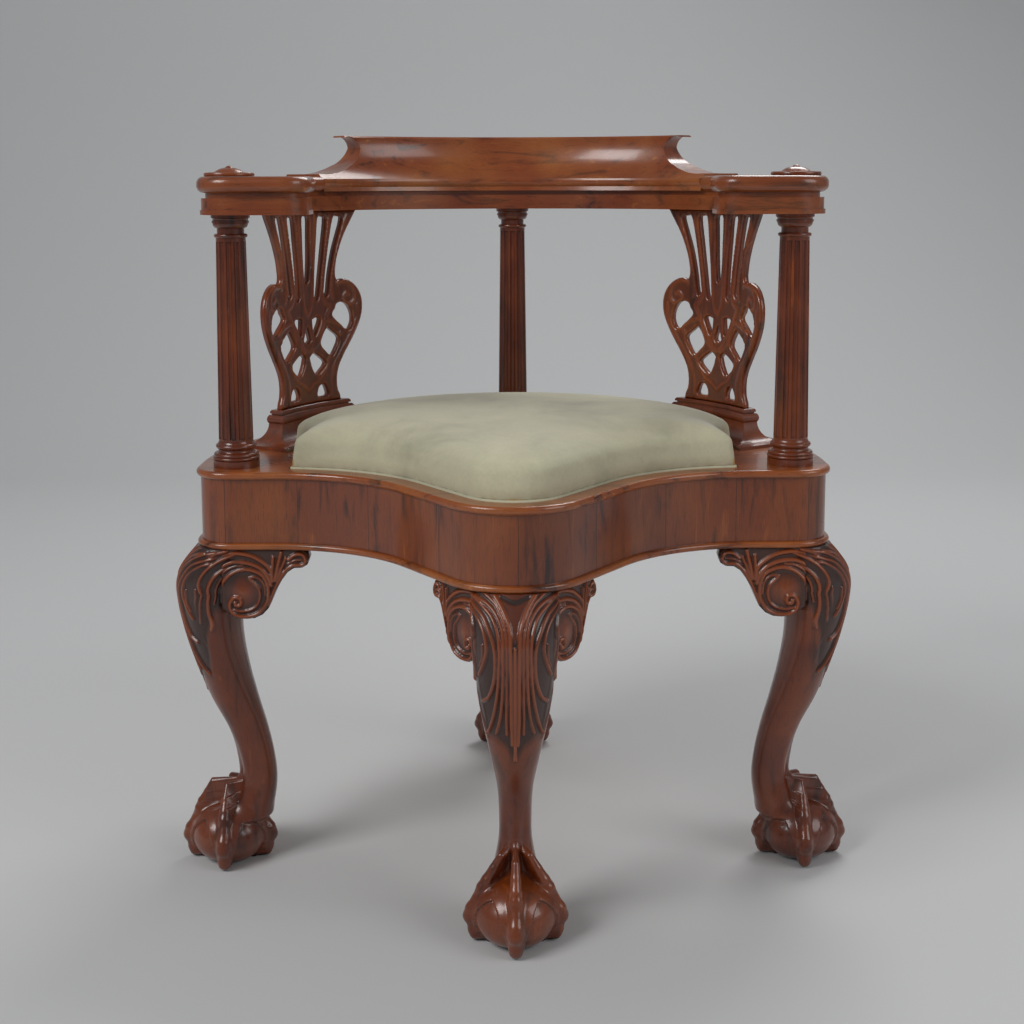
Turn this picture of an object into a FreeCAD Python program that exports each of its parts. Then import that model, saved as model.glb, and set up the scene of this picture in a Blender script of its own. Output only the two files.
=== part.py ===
import FreeCAD, Part
import math
import os
import Sketcher

# Corner chair with cabriole legs, a drop-in seat and a round arm bow, in millimetres.
# The origin lies on the floor under the middle of the chair, +Z is up and the front leg looks to -Y.

SIZES = [
    ("leg_depth", 513.0, "front leg axis to back leg axis"),
    ("leg_half_span", 305.0, "side leg axis to the middle plane"),
    ("side_setback", 181.0, "side leg axes behind the front leg axis"),
    ("seat_height", 450.5, "top of the seat capping"),
    ("capping_thick", 8.5, "thickness of the rounded capping"),
    ("apron_bottom", 365.0, "underside of the seat rails"),
    ("overhang", 38.0, "apron face outside the leg axes"),
    ("nosing", 4.5, "capping edge beyond the apron face"),
    ("bead_reach", 5.0, "lower bead beyond the apron face"),
    ("bead_tall", 7.0, "height of the lower bead"),
    ("veneer_thick", 1.5, "cross-grain facing of the rails"),
    ("rim", 18.0, "apron face to the seat opening along the front"),
    ("ledge", 12.0, "rail ledge under the drop-in seat"),
    ("opening_radius", 266.0, "radius of the seat opening behind"),
    ("cusp_back", 55.0, "side notch of the opening behind the side leg axes"),
    ("cusp_side", 240.0, "side notch of the opening from the middle plane"),
    ("tip_side", 246.0, "front tip of the opening from the middle plane"),
    ("tip_back", 93.0, "rear tip of the opening behind the side leg axes"),
    ("corner_radius", 38.0, "side corners of the seat in plan"),
    ("lobe_radius", 76.0, "front lobe of the seat in plan"),
    ("hollow_radius", 180.0, "hollow sweeps beside the front lobe"),
    ("sweep_angle", 55.0, "turn of each hollow sweep in degrees"),
    ("post_wide", 60.0, "leg stump inside the rails at the front and back"),
    ("post_front_run", 60.0, "front leg stump behind the apron face"),
    ("post_side", 74.0, "leg stump of the side legs across the chair"),
    ("post_run", 40.0, "leg stump of the side legs behind their axes"),
    ("tenon_thick", 12.0, "rail tenons"),
    ("tenon_inset", 30.0, "rear rail tenons inside the back leg axis"),
    ("tenon_tall", 50.0, "rail tenons"),
    ("tenon_long", 20.0, "rail tenons"),
    ("ankle_lift", 92.0, "height of the narrowest part of a leg"),
    ("knee_lift", 314.0, "height of the fullest part of a knee"),
    ("foot_out", 18.0, "foot centre outside the leg axis"),
    ("ball_radius", 29.5, "ball of a foot"),
    ("ball_lift", 28.5, "centre of the ball above the floor"),
    ("toe_ring", 36.5, "toes from the foot centre"),
    ("toe_radial", 17.0, "toe thickness measured outward"),
    ("toe_across", 9.0, "toe thickness measured sideways"),
    ("toe_tall", 25.0, "half height of a toe"),
    ("toe_lift", 23.0, "centre of a toe above the floor"),
    ("knuckle_ring", 27.0, "knuckles from the foot centre"),
    ("knuckle_lift", 50.0, "centre of a knuckle above the floor"),
    ("knuckle_half", 19.0, "half height of a knuckle"),
    ("ear_thick", 24.0, "knee bracket thickness"),
    ("ear_long", 82.0, "knee bracket from the leg axis along a straight rail"),
    ("ear_drop", 79.0, "knee bracket height at the leg"),
    ("ear_tip", 16.0, "knee bracket height at its tip"),
    ("ear_scroll", 66.0, "middle of the bracket's scroll from its tip"),
    ("front_ear_long", 118.0, "front knee bracket from the middle plane"),
    ("front_ear_squeeze", 0.69, "front knee brackets against the length of the others"),
    ("front_ear_ahead", 24.0, "front knee brackets meet this far ahead of the apron"),
    ("front_ear_turn", 46.0, "front leg brackets turned back, in degrees"),
    ("round_ear_turn", 7.0, "brackets under the round rails turned in, in degrees"),
    ("column_dia_low", 37.5, "column shaft above its base"),
    ("column_dia_top", 32.0, "column shaft under its neck"),
    ("column_tenon", 16.0, "column tenon diameter at both ends"),
    ("low_tenon_long", 30.0, "column tenon in the leg stump"),
    ("top_tenon_long", 18.0, "column tenon in the arm"),
    ("flute_count", 12.0, "flutes round a column"),
    ("flute_radius", 3.4, "flute cutter radius"),
    ("arm_underside", 725.5, "underside of the arms"),
    ("arm_bead", 5.0, "bead along the bottom of the arms"),
    ("arm_fascia", 12.5, "flat edge of the arms"),
    ("arm_hollow", 5.5, "hollow below the rounded top layer"),
    ("arm_cap", 17.5, "rounded top layer of the arms"),
    ("arm_half_wide", 32.5, "half width of the arm bow"),
    ("fascia_inset", 4.5, "flat edge behind the top layer"),
    ("hollow_inset", 9.0, "hollow behind the top layer"),
    ("pad_front", 48.0, "arm pad in front of the side leg axes"),
    ("pad_back", 38.0, "arm pad behind the side leg axes"),
    ("pad_inner", 214.0, "inner side of the arm pad from the middle plane"),
    ("pad_outer_radius", 42.0, "outer front corner of the pad"),
    ("pad_inner_radius", 30.0, "inner front corner of the pad"),
    ("pad_tail_radius", 26.0, "inner rear corner of the pad"),
    ("pad_fillet", 24.0, "fillet from the pad to the bow"),
    ("splice_angle", 35.0, "joint of arm and back bow from the side, in degrees"),
    ("crest_tall", 67.5, "crest rail above the bow"),
    ("crest_top_thick", 24.0, "crest rail at its top edge"),
    ("crest_front", 299.0, "front of the crest top edge from the bow centre"),
    ("scoop_angle", 45.0, "middle of the scoop from the side, in degrees"),
    ("scoop_reach", 31.5, "deepest part of the scoop from its middle"),
    ("scoop_lip", 8.0, "tip of the crest rail from the middle of the scoop"),
    ("scoop_radial", 90.0, "depth of the scoop cutter behind the crest front"),
    ("scoop_low", 47.0, "bottom of the scoop below the crest top"),
    ("splat_radius", 300.0, "splat and shoe from the bow centre"),
    ("splat_angle", 33.0, "middle of a splat from the side, in degrees"),
    ("splat_thick", 9.0, "splat thickness"),
    ("splat_tongue", 6.0, "splat tongue in the shoe and in the arm"),
    ("shoe_height", 41.0, "moulded shoe above the capping"),
    ("shoe_base", 66.0, "shoe width on the capping"),
    ("shoe_top", 16.0, "shoe width under the splat"),
    ("shoe_end_top", 62.0, "top of the shoe from its middle to its end"),
    ("shoe_end_flare", 36.0, "foot of the shoe beyond its top at the ends"),
    ("shoe_half_angle", 24.0, "sweep of the shoe moulding either side of its middle, in degrees"),
    ("boss_dia", 54.0, "turned boss on the arm pads"),
    ("boss_height", 11.5, "turned boss above the arm"),
    ("boss_pin", 8.0, "turned boss pin diameter"),
    ("boss_rim", 4.0, "edge of the turned boss"),
    ("frame_gap", 4.5, "gap round the drop-in seat frame"),
    ("frame_wide", 48.0, "width of the drop-in seat frame"),
    ("frame_thick", 16.0, "thickness of the drop-in seat frame"),
    ("webbing_wide", 50.0, "width of a webbing strap"),
    ("webbing_thick", 1.5, "thickness of the webbing"),
    ("hessian_thick", 0.8, "thickness of the hessian"),
    ("crown_height", 502.0, "top of the cushion"),
    ("cover_thick", 1.4, "seat cover thickness"),
    ("soft_gap", 0.3, "clear space round soft pieces"),
    ("tack_head", 7.0, "head diameter of an upholstery tack"),
    ("tack_shank", 1.8, "shank diameter of an upholstery tack"),
    ("tack_long", 11.0, "length of an upholstery tack"),
    ("tack_head_thick", 0.8, "head thickness of an upholstery tack"),
    ("tack_count", 44.0, "tacks round the drop-in seat frame"),
    ("tack_inset", 18.0, "tacks from the seat opening"),
    ("screw_dia", 5.0, "screws that hold the crest rail"),
    ("screw_head", 9.0, "head diameter of the crest rail screws"),
    ("screw_long", 42.0, "screws that hold the crest rail"),
    ("screw_setback", 3.0, "crest rail screws behind the middle of the bow"),
]

doc = FreeCAD.newDocument("CornerChair")
sheet = doc.addObject("Spreadsheet::Sheet", "Sizes")
size = {}
for row, (alias, value, note) in enumerate(SIZES, start=1):
    sheet.set(f"A{row}", note)
    sheet.set(f"B{row}", str(value))
    sheet.setAlias(f"B{row}", alias)
    size[alias] = value
doc.recompute()

# Places worked out from the driving sizes.
SIDE_Y = size["side_setback"] - size["leg_depth"] / 2
FRONT_Y = -size["leg_depth"] / 2
BACK_Y = size["leg_depth"] / 2
BACK_REACH = BACK_Y - SIDE_Y
BOW_RADIUS = (size["leg_half_span"] ** 2 + BACK_REACH ** 2) / (2 * BACK_REACH)
BOW_Y = BACK_Y - BOW_RADIUS
RAIL_TOP = size["seat_height"] - size["capping_thick"]
ARM_TOP = (size["arm_underside"] + size["arm_bead"] + size["arm_fascia"]
           + size["arm_hollow"] + size["arm_cap"])
FASCIA_TOP = size["arm_underside"] + size["arm_bead"] + size["arm_fascia"]
FRAME_LOW = RAIL_TOP + size["cover_thick"]
FRAME_TOP = FRAME_LOW + size["frame_thick"]

TOUCH = 1e-6
ON_OUTLINE = 0.01
nodes = {}


def vec(x, y, z=0.0):
    return FreeCAD.Vector(x, y, z)


def polar(centre, radius, degrees):
    angle = math.radians(degrees)
    return (centre[0] + radius * math.cos(angle), centre[1] + radius * math.sin(angle))


def arc_step(centre, radius, start, end):
    """Three points of an arc, as one step of an outline."""
    return tuple(polar(centre, radius, angle) for angle in (start, (start + end) / 2, end))


def joined_open(*parts):
    """Outline steps with straight steps added wherever two neighbours don't meet."""
    steps = []
    for part in parts:
        for step in part:
            if steps and math.dist(steps[-1][-1], step[0]) > TOUCH:
                steps.append((steps[-1][-1], step[0]))
            steps.append(step)
    return steps


def joined(*parts):
    """Closed outline of the steps."""
    steps = joined_open(*parts)
    if math.dist(steps[-1][-1], steps[0][0]) > TOUCH:
        steps.append((steps[-1][-1], steps[0][0]))
    return steps


def closed(points):
    """Closed outline of straight steps through the points."""
    return [(a, b) for a, b in zip(points, points[1:] + points[:1])]


def backward(steps):
    return [tuple(reversed(step)) for step in reversed(steps)]


def mirrored(steps, hand):
    return [tuple((hand * x, y) for x, y in step) for step in steps]


def curves(steps):
    made = []
    for step in steps:
        points = [vec(*point) for point in step]
        made.append(Part.LineSegment(*points) if len(points) == 2 else Part.Arc(*points))
    return made


def wire_at(steps, height=0.0, scale=1.0, centre=(0.0, 0.0)):
    """Wire of an outline at a height, scaled about a centre."""
    near_x, near_y = centre
    scaled = [tuple((near_x + scale * (x - near_x), near_y + scale * (y - near_y)) for x, y in step)
              for step in steps]
    wire = Part.Wire([curve.toShape() for curve in curves(scaled)])
    wire.translate(vec(0, 0, height))
    return wire


def both_hands(half):
    """Whole outline from its right half."""
    return half + backward(mirrored(half, -1))


def origin_plane(body, role):
    return next(item for item in body.Origin.OriginFeatures if item.Role == role)


def new_body(name):
    return doc.addObject("PartDesign::Body", name + "_body")


def sketch_on(body, name, role, steps, lift=None):
    """Sketch of a closed outline on an origin plane of its own body."""
    sketch = body.newObject("Sketcher::SketchObject", name)
    sketch.AttachmentSupport = [(origin_plane(body, role), "")]
    sketch.MapMode = "FlatFace"
    if lift is not None:
        sketch.setExpression(".AttachmentOffset.Base.z", lift)
    for index, curve in enumerate(curves(steps)):
        sketch.addGeometry(curve, False)
        sketch.addConstraint(Sketcher.Constraint("Block", index))
    return sketch


def pad(body, name, sketch, length, reversed_way=False):
    feature = body.newObject("PartDesign::Pad", name)
    feature.Profile = sketch
    feature.setExpression("Length", length)
    feature.Reversed = reversed_way
    body.Tip = feature
    return feature


def round_edges(body, name, radius, test):
    """Fillet of every edge of the body's tip whose middle passes the test."""
    doc.recompute()
    base = body.Tip
    chosen = []
    for index, edge in enumerate(base.Shape.Edges, start=1):
        middle = edge.valueAt((edge.FirstParameter + edge.LastParameter) / 2)
        if test(edge, middle):
            chosen.append(f"Edge{index}")
    feature = body.newObject("PartDesign::Fillet", name)
    feature.Base = (base, chosen)
    feature.setExpression("Radius", radius)
    body.Tip = feature
    doc.recompute()
    return feature


def keep(name, source):
    """Name a sub-part, so that its label is the name of its file."""
    source.Label = name
    nodes[name] = source
    return source


def cut(name, base, tools):
    """Base with the tools taken away, as a boolean of the document."""
    feature = doc.addObject("Part::Cut", name)
    feature.Base = base
    feature.Tool = tools[0] if len(tools) == 1 else fused(name + "_tools", tools)
    return feature


def fused(name, pieces):
    feature = doc.addObject("Part::MultiFuse", name)
    feature.Shapes = pieces
    return feature


def common(name, base, tool):
    feature = doc.addObject("Part::Common", name)
    feature.Base = base
    feature.Tool = tool
    return feature


def box(name, low, high):
    """Box between two corners."""
    feature = doc.addObject("Part::Box", name)
    feature.Length = high[0] - low[0]
    feature.Width = high[1] - low[1]
    feature.Height = high[2] - low[2]
    feature.Placement = FreeCAD.Placement(vec(*low), FreeCAD.Rotation())
    return feature


def cylinder(name, place, radius, height):
    feature = doc.addObject("Part::Cylinder", name)
    feature.setExpression("Radius", radius)
    feature.setExpression("Height", height)
    feature.Placement = FreeCAD.Placement(vec(*place), FreeCAD.Rotation())
    return feature


def solid_feature(name, shape):
    feature = doc.addObject("Part::Feature", name)
    feature.Shape = shape
    feature.Placement = FreeCAD.Placement()
    return feature


def plan_block(name, steps, low, high):
    """Upright block over an outline between two heights."""
    return solid_feature(name, Part.Face(wire_at(steps, low)).extrude(vec(0, 0, high - low)))


# Seat outline in plan.
LOBE = (0.0, SIDE_Y - size["side_setback"] - size["overhang"] + size["lobe_radius"])
SWEEP = size["sweep_angle"]
HOLLOW_Y = SIDE_Y - size["overhang"] - size["hollow_radius"]
HOLLOW_X = ((size["hollow_radius"] + size["lobe_radius"]
             + math.cos(math.radians(SWEEP)) * (HOLLOW_Y - LOBE[1])) / math.sin(math.radians(SWEEP)))
HOLLOW = (HOLLOW_X, HOLLOW_Y)
CORNER = (BOW_RADIUS + size["overhang"] - size["corner_radius"],
          SIDE_Y - size["overhang"] + size["corner_radius"])
BOW = (0.0, BOW_Y)
CUSP = (size["cusp_side"], SIDE_Y + size["cusp_back"])


def front_sweep(grow):
    """Right half of the front edge from the middle to the side corner, grown outward."""
    return [
        arc_step(LOBE, size["lobe_radius"] + grow, -90, -90 + SWEEP),
        arc_step(HOLLOW, size["hollow_radius"] - grow, 90 + SWEEP, 90),
    ]


def front_edge(grow):
    corner = arc_step(CORNER, size["corner_radius"] + grow, -90, 0)
    return joined_open(front_sweep(grow), [corner])


def back_edge(grow):
    """Right half of the rear edge from the side corner to the middle, grown outward."""
    radius = BOW_RADIUS + size["overhang"] + grow
    return joined_open([((radius, CORNER[1]), (radius, BOW_Y))], [arc_step(BOW, radius, 0, 90)])


def front_opening(inset):
    """Right half of the front of the seat opening, from the middle to the side cusp."""
    radius = size["hollow_radius"] + size["rim"] + inset
    stop = math.degrees(math.acos((size["tip_side"] - inset - HOLLOW[0]) / radius))
    lobe = front_sweep(-size["rim"] - inset)[0]
    hollow = arc_step(HOLLOW, radius, 90 + SWEEP, stop)
    return joined_open([lobe], [hollow], [(hollow[-1], (CUSP[0] - inset, CUSP[1]))])


def back_opening(inset):
    """Right half of the rear of the seat opening, from the side cusp to the middle."""
    radius = size["opening_radius"] - inset
    start = math.degrees(math.asin((SIDE_Y + size["tip_back"] - BOW_Y) / radius))
    tip = polar(BOW, radius, start)
    return [((CUSP[0] - inset, CUSP[1]), tip), arc_step(BOW, radius, start, 90)]


def seat_outline(inset):
    """Whole outline of the seat opening, made smaller by the inset."""
    return both_hands(joined_open(front_opening(inset), back_opening(inset)))


def circles_meet(first, first_radius, second, second_radius):
    """Meeting point of two circles, on the left of the way from the first centre to the second."""
    span = math.dist(first, second)
    along = (first_radius ** 2 - second_radius ** 2 + span ** 2) / (2 * span)
    across = math.sqrt(first_radius ** 2 - along ** 2)
    way_x, way_y = (second[0] - first[0]) / span, (second[1] - first[1]) / span
    return (first[0] + along * way_x - across * way_y, first[1] + along * way_y + across * way_x)


def frame_edge(inset, end_name):
    """Right half of the inner edge of the drop-in seat frame, at its front or its back."""
    bow_radius = size["opening_radius"] - inset
    hollow_radius = size["hollow_radius"] + size["rim"] + inset
    corner = circles_meet(BOW, bow_radius, HOLLOW, hollow_radius)
    if end_name == "front":
        stop = math.degrees(math.atan2(corner[1] - HOLLOW[1], corner[0] - HOLLOW[0]))
        lobe = front_sweep(-size["rim"] - inset)[0]
        return joined_open([lobe], [arc_step(HOLLOW, hollow_radius, 90 + SWEEP, stop)])
    start = math.degrees(math.atan2(corner[1] - BOW_Y, corner[0]))
    return [arc_step(BOW, bow_radius, start, 90)]


def front_profile(outer, inner):
    return joined(front_edge(outer), backward(inner))


def back_profile(outer, inner):
    return joined(back_edge(outer), backward(inner))


def on_edge(point, grow):
    """True for a point of the outer seat edge grown outward."""
    x, y = abs(point.x), point.y
    if y > CORNER[1]:
        return abs(math.hypot(x, max(y - BOW_Y, 0.0)) - BOW_RADIUS - size["overhang"] - grow) < ON_OUTLINE
    if x > CORNER[0]:
        return abs(math.dist((x, y), CORNER) - size["corner_radius"] - grow) < ON_OUTLINE
    normal = polar((0.0, 0.0), 1.0, -90 + SWEEP)
    straight = (x - LOBE[0]) * normal[0] + (y - LOBE[1]) * normal[1]
    misses = (y - CORNER[1] + size["corner_radius"] + grow,
              math.dist((x, y), HOLLOW) - size["hollow_radius"] + grow,
              math.dist((x, y), LOBE) - size["lobe_radius"] - grow,
              straight - size["lobe_radius"] - grow)
    return any(abs(miss) < ON_OUTLINE for miss in misses)


QUARTERS = []
for hand, side_name in ((-1, "left"), (1, "right")):
    QUARTERS.append(("front_" + side_name, hand, front_profile, front_opening))
    QUARTERS.append(("back_" + side_name, hand, back_profile, back_opening))


def quarter_solid(name, hand, steps, lift, length):
    body = new_body(name)
    sketch = sketch_on(body, name + "_outline", "XY_Plane", mirrored(steps, hand), lift)
    pad(body, name + "_pad", sketch, length)
    return body


def moulding(name, hand, steps, lift, length, grow, radius):
    """Strip of the seat edge with its two outer edges rounded."""
    body = quarter_solid(name, hand, steps, lift, length)

    def outer(edge, middle):
        return abs(edge.tangentAt(edge.FirstParameter).z) < 0.5 and on_edge(middle, grow)

    round_edges(body, name + "_round", radius, outer)
    return body


# Column, boss and screw places.
LEG_PLACES = {
    "front_leg": (0.0, FRONT_Y, 0.0),
    "right_leg": (size["leg_half_span"], SIDE_Y, 90.0),
    "back_leg": (0.0, BACK_Y, 180.0),
    "left_leg": (-size["leg_half_span"], SIDE_Y, -90.0),
}
COLUMN_PLACES = {
    "left_column": (-size["leg_half_span"], SIDE_Y),
    "right_column": (size["leg_half_span"], SIDE_Y),
    "back_column": (0.0, BACK_Y),
}

column_holes = []
for name, (x, y) in COLUMN_PLACES.items():
    depth = size["low_tenon_long"]
    hole = cylinder(name + "_hole", (x, y, size["seat_height"] - depth),
                    "Sizes.column_tenon / 2", "Sizes.low_tenon_long")
    column_holes.append(hole)

# Leg stumps inside the rails, cut to the shape of the seat edge.
back_inner = BOW_Y + size["opening_radius"] - size["ledge"]
STUMPS = {
    "front_leg": ((-size["post_wide"] / 2, LOBE[1] - size["lobe_radius"] - 1),
                  (size["post_wide"] / 2, LOBE[1] - size["lobe_radius"] + size["post_front_run"])),
    "back_leg": ((-size["post_wide"] / 2, back_inner),
                 (size["post_wide"] / 2, BACK_Y + size["overhang"] + 1)),
    "right_leg": ((BOW_RADIUS + size["overhang"] - size["post_side"], SIDE_Y - size["overhang"] - 1),
                  (BOW_RADIUS + size["overhang"] + 1, SIDE_Y + size["post_run"])),
}
(low_x, low_y), (high_x, high_y) = STUMPS["right_leg"]
STUMPS["left_leg"] = ((-high_x, low_y), (-low_x, high_y))

core_edge = both_hands(joined_open(front_edge(-size["veneer_thick"]), back_edge(-size["veneer_thick"])))
core = plan_block("seat_core", core_edge, size["apron_bottom"], RAIL_TOP)

# Room for the tack heads over the front stump, inside the ledge.
tack_room = plan_block("tack_room", seat_outline(size["ledge"]),
                       RAIL_TOP - size["ledge"] / 2, RAIL_TOP + size["ledge"] / 2)

# Tenons of the rails, each named by its rail and by the leg that it enters.
tenon_low = (size["apron_bottom"] + RAIL_TOP - size["tenon_tall"]) / 2
tenon_high = tenon_low + size["tenon_tall"]
front_tenon_y = LOBE[1] - size["lobe_radius"] + (size["rim"] + size["ledge"]) * 0.8
side_tenon_y = SIDE_Y - size["overhang"] / 2
side_face_x = BOW_RADIUS + size["overhang"] - size["post_side"]
half_thick = size["tenon_thick"] / 2
back_tenon_y = BACK_Y - size["tenon_inset"]
stump_edge = size["post_wide"] / 2
side_stump_end = SIDE_Y + size["post_run"]
reach = size["tenon_long"]
TENONS = {}
for hand, side_name in ((-1, "left"), (1, "right")):
    side_leg = side_name + "_leg"
    across = {
        ("front_" + side_name, "front_leg"): (stump_edge - reach, stump_edge, front_tenon_y),
        ("front_" + side_name, side_leg): (side_face_x, side_face_x + reach, side_tenon_y),
        ("back_" + side_name, "back_leg"): (stump_edge - reach, stump_edge, back_tenon_y),
    }
    for key, (near, far, y) in across.items():
        low_x, high_x = sorted((hand * near, hand * far))
        TENONS[key] = ((low_x, y - half_thick, tenon_low), (high_x, y + half_thick, tenon_high))
    middle = hand * size["leg_half_span"]
    TENONS[("back_" + side_name, side_leg)] = ((middle - half_thick, side_stump_end - reach, tenon_low),
                                               (middle + half_thick, side_stump_end, tenon_high))


def tenon_box(rail, leg, use):
    low, high = TENONS[(rail, leg)]
    return box(f"{rail}_{leg}_{use}", low, high)


# Cabriole leg sections: height, shift outward, half depth, half width and corner radius.
LEG_SECTIONS = [
    (44.0, -4.0, 28.0, 26.0, 18.0),
    (66.0, -10.0, 25.0, 22.0, 17.0),
    (size["ankle_lift"], -16.0, 20.3, 17.5, 13.0),
    (124.0, -13.2, 20.2, 16.8, 13.0),
    (150.0, -6.5, 21.5, 18.0, 14.0),
    (190.0, 9.0, 26.0, 24.5, 17.0),
    (223.0, 19.0, 28.0, 31.0, 19.0),
    (268.0, 29.0, 31.5, 38.5, 21.0),
    (size["knee_lift"], 31.5, 36.5, 42.0, 24.0),
    (size["apron_bottom"], 15.0, 40.0, 42.0, 24.0),
]


def rounded_rectangle(centre_y, half_deep, half_wide, radius):
    """Rounded rectangle about (0, centre_y), as outline steps."""
    centres = [(half_wide - radius, centre_y + half_deep - radius, 0),
               (-half_wide + radius, centre_y + half_deep - radius, 90),
               (-half_wide + radius, centre_y - half_deep + radius, 180),
               (half_wide - radius, centre_y - half_deep + radius, 270)]
    return joined([arc_step((x, y), radius, start, start + 90) for x, y, start in centres])


def ellipsoid(body, name, place, radii):
    feature = body.newObject("PartDesign::AdditiveEllipsoid", name)
    for prop, expression in zip(("Radius1", "Radius2", "Radius3"), radii):
        feature.setExpression(prop, expression)
    feature.Placement = FreeCAD.Placement(vec(*place), FreeCAD.Rotation())
    body.Tip = feature
    return feature


def cabriole(name):
    """Leg below the rails in its own frame: axis at the origin, outward is -Y."""
    body = new_body(name)
    sketches = []
    for index, (height, out, deep, wide, radius) in enumerate(LEG_SECTIONS):
        steps = rounded_rectangle(-out, deep, wide, radius)
        section = sketch_on(body, f"{name}_section_{index}", "XY_Plane", steps)
        section.AttachmentOffset = FreeCAD.Placement(vec(0, 0, height), FreeCAD.Rotation())
        sketches.append(section)
    loft = body.newObject("PartDesign::AdditiveLoft", name + "_loft")
    loft.Profile = sketches[0]
    loft.Sections = sketches[1:]
    loft.Ruled = False
    body.Tip = loft
    foot_y = -size["foot_out"]
    ball = body.newObject("PartDesign::AdditiveSphere", name + "_ball")
    ball.setExpression("Radius", "Sizes.ball_radius")
    ball.Placement = FreeCAD.Placement(vec(0, foot_y, size["ball_lift"]), FreeCAD.Rotation())
    body.Tip = ball
    for index in range(4):
        turn = math.radians(90 * index)
        across, outward = math.sin(turn), -math.cos(turn)
        along_x = index % 2 == 1
        toe_x = "Sizes.toe_radial" if along_x else "Sizes.toe_across"
        toe_y = "Sizes.toe_across" if along_x else "Sizes.toe_radial"
        ellipsoid(body, f"{name}_toe_{index}",
                  (size["toe_ring"] * across, foot_y + size["toe_ring"] * outward, size["toe_lift"]),
                  ("Sizes.toe_tall", toe_x, toe_y))
        ring = size["knuckle_ring"]
        ellipsoid(body, f"{name}_knuckle_{index}",
                  (ring * across, foot_y + ring * outward, size["knuckle_lift"]),
                  ("Sizes.knuckle_half", toe_x, toe_y))
    floor_cut = body.newObject("PartDesign::SubtractiveBox", name + "_floor_cut")
    reach = 2 * size["toe_ring"] + 2 * size["toe_radial"]
    floor_cut.Length = 2 * reach
    floor_cut.Width = 2 * reach
    floor_cut.Height = size["toe_tall"]
    below_foot = vec(-reach, foot_y - reach, -size["toe_tall"])
    floor_cut.Placement = FreeCAD.Placement(below_foot, FreeCAD.Rotation())
    body.Tip = floor_cut
    return body


leg_design = cabriole("cabriole")
leg_bodies = {}
for name, (x, y, turn) in LEG_PLACES.items():
    body = doc.addObject("App::Link", name + "_lower")
    body.LinkedObject = leg_design
    body.LinkTransform = True
    body.Placement = FreeCAD.Placement(vec(x, y, 0), FreeCAD.Rotation(vec(0, 0, 1), turn))
    leg_bodies[name] = body
    (x0, y0), (x1, y1) = STUMPS[name]
    block = box(name + "_block", (x0, y0, size["apron_bottom"]), (x1, y1, RAIL_TOP))
    stump = common(name + "_stump", core, block)
    whole = fused(name + "_whole", [body, stump])
    mortises = [tenon_box(rail, leg, "mortise") for rail, leg in TENONS if leg == name]
    keep(name, cut(name, whole, mortises + column_holes + [tack_room]))

# Seat rails, facings, cappings and beads, four of each.
for name, hand, profile, opening in QUARTERS:
    rail_body = quarter_solid(name + "_rail", hand, profile(-size["veneer_thick"], opening(size["ledge"])),
                              "Sizes.apron_bottom",
                              "Sizes.seat_height - Sizes.capping_thick - Sizes.apron_bottom")
    legs = [leg for rail, leg in TENONS if rail == name]
    blocks = []
    for leg in legs:
        (x0, y0), (x1, y1) = STUMPS[leg]
        blocks.append(box(f"{name}_{leg}_seat", (x0, y0, size["apron_bottom"] - 1), (x1, y1, RAIL_TOP + 1)))
    shortened = cut(name + "_rail_shoulders", rail_body, blocks)
    tongues = [tenon_box(name, leg, "tenon") for leg in legs]
    keep(name + "_rail", fused(name + "_rail", [shortened] + tongues))

    edge = front_edge if name.startswith("front") else back_edge
    facing_inner = edge(-size["veneer_thick"])
    facing = quarter_solid(name + "_facing", hand, profile(0.0, facing_inner),
                           "Sizes.apron_bottom + Sizes.bead_tall",
                           "Sizes.seat_height - Sizes.capping_thick - Sizes.apron_bottom - Sizes.bead_tall")
    keep(name + "_facing", facing)
    capping = moulding(name + "_capping", hand, profile(size["nosing"], opening(0.0)),
                       "Sizes.seat_height - Sizes.capping_thick", "Sizes.capping_thick",
                       size["nosing"], "Sizes.capping_thick * 0.46")
    keep(name + "_capping", cut(name + "_capping", capping, column_holes))
    bead = moulding(name + "_bead", hand, profile(size["bead_reach"], facing_inner),
                    "Sizes.apron_bottom", "Sizes.bead_tall", size["bead_reach"], "Sizes.bead_tall * 0.46")
    keep(name + "_bead", bead)


# Knee brackets: eight scrolled ears glued beside the knees under the rails.
def ear_profile(length, squeeze):
    """Scrolled bracket outline along the rail (x) and down from it (y), squeezed towards its tip."""
    drop, tip, scroll = size["ear_drop"], size["ear_tip"], size["ear_scroll"]
    steps = [
        ((size["ear_long"], 0.0), (size["ear_long"], -drop + 3)),
        ((size["ear_long"], -drop + 3), (scroll, -drop)),
        ((scroll, -drop), (scroll - 19, -drop + 7), (scroll - 30, -drop + 28)),
        ((scroll - 30, -drop + 28), (tip + 9, -tip - 15), (tip, -tip)),
        ((tip, -tip), (3, -tip)),
        ((3, -tip), (-3, -tip / 2), (1, 0.0)),
    ]
    return joined([tuple((length - squeeze * back, y) for back, y in step) for step in steps])


def ear(name, leg, place, turn, hand, length, squeeze=1.0):
    body = new_body(name)
    sketch = sketch_on(body, name + "_outline", "XZ_Plane", mirrored(ear_profile(length, squeeze), hand))
    pad(body, name + "_pad", sketch, "Sizes.ear_thick", reversed_way=True)
    x, y = place
    body.Placement = FreeCAD.Placement(vec(x, y, size["apron_bottom"]), FreeCAD.Rotation(vec(0, 0, 1), turn))
    keep(name, cut(name, body, [leg_bodies[leg]]))


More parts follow.
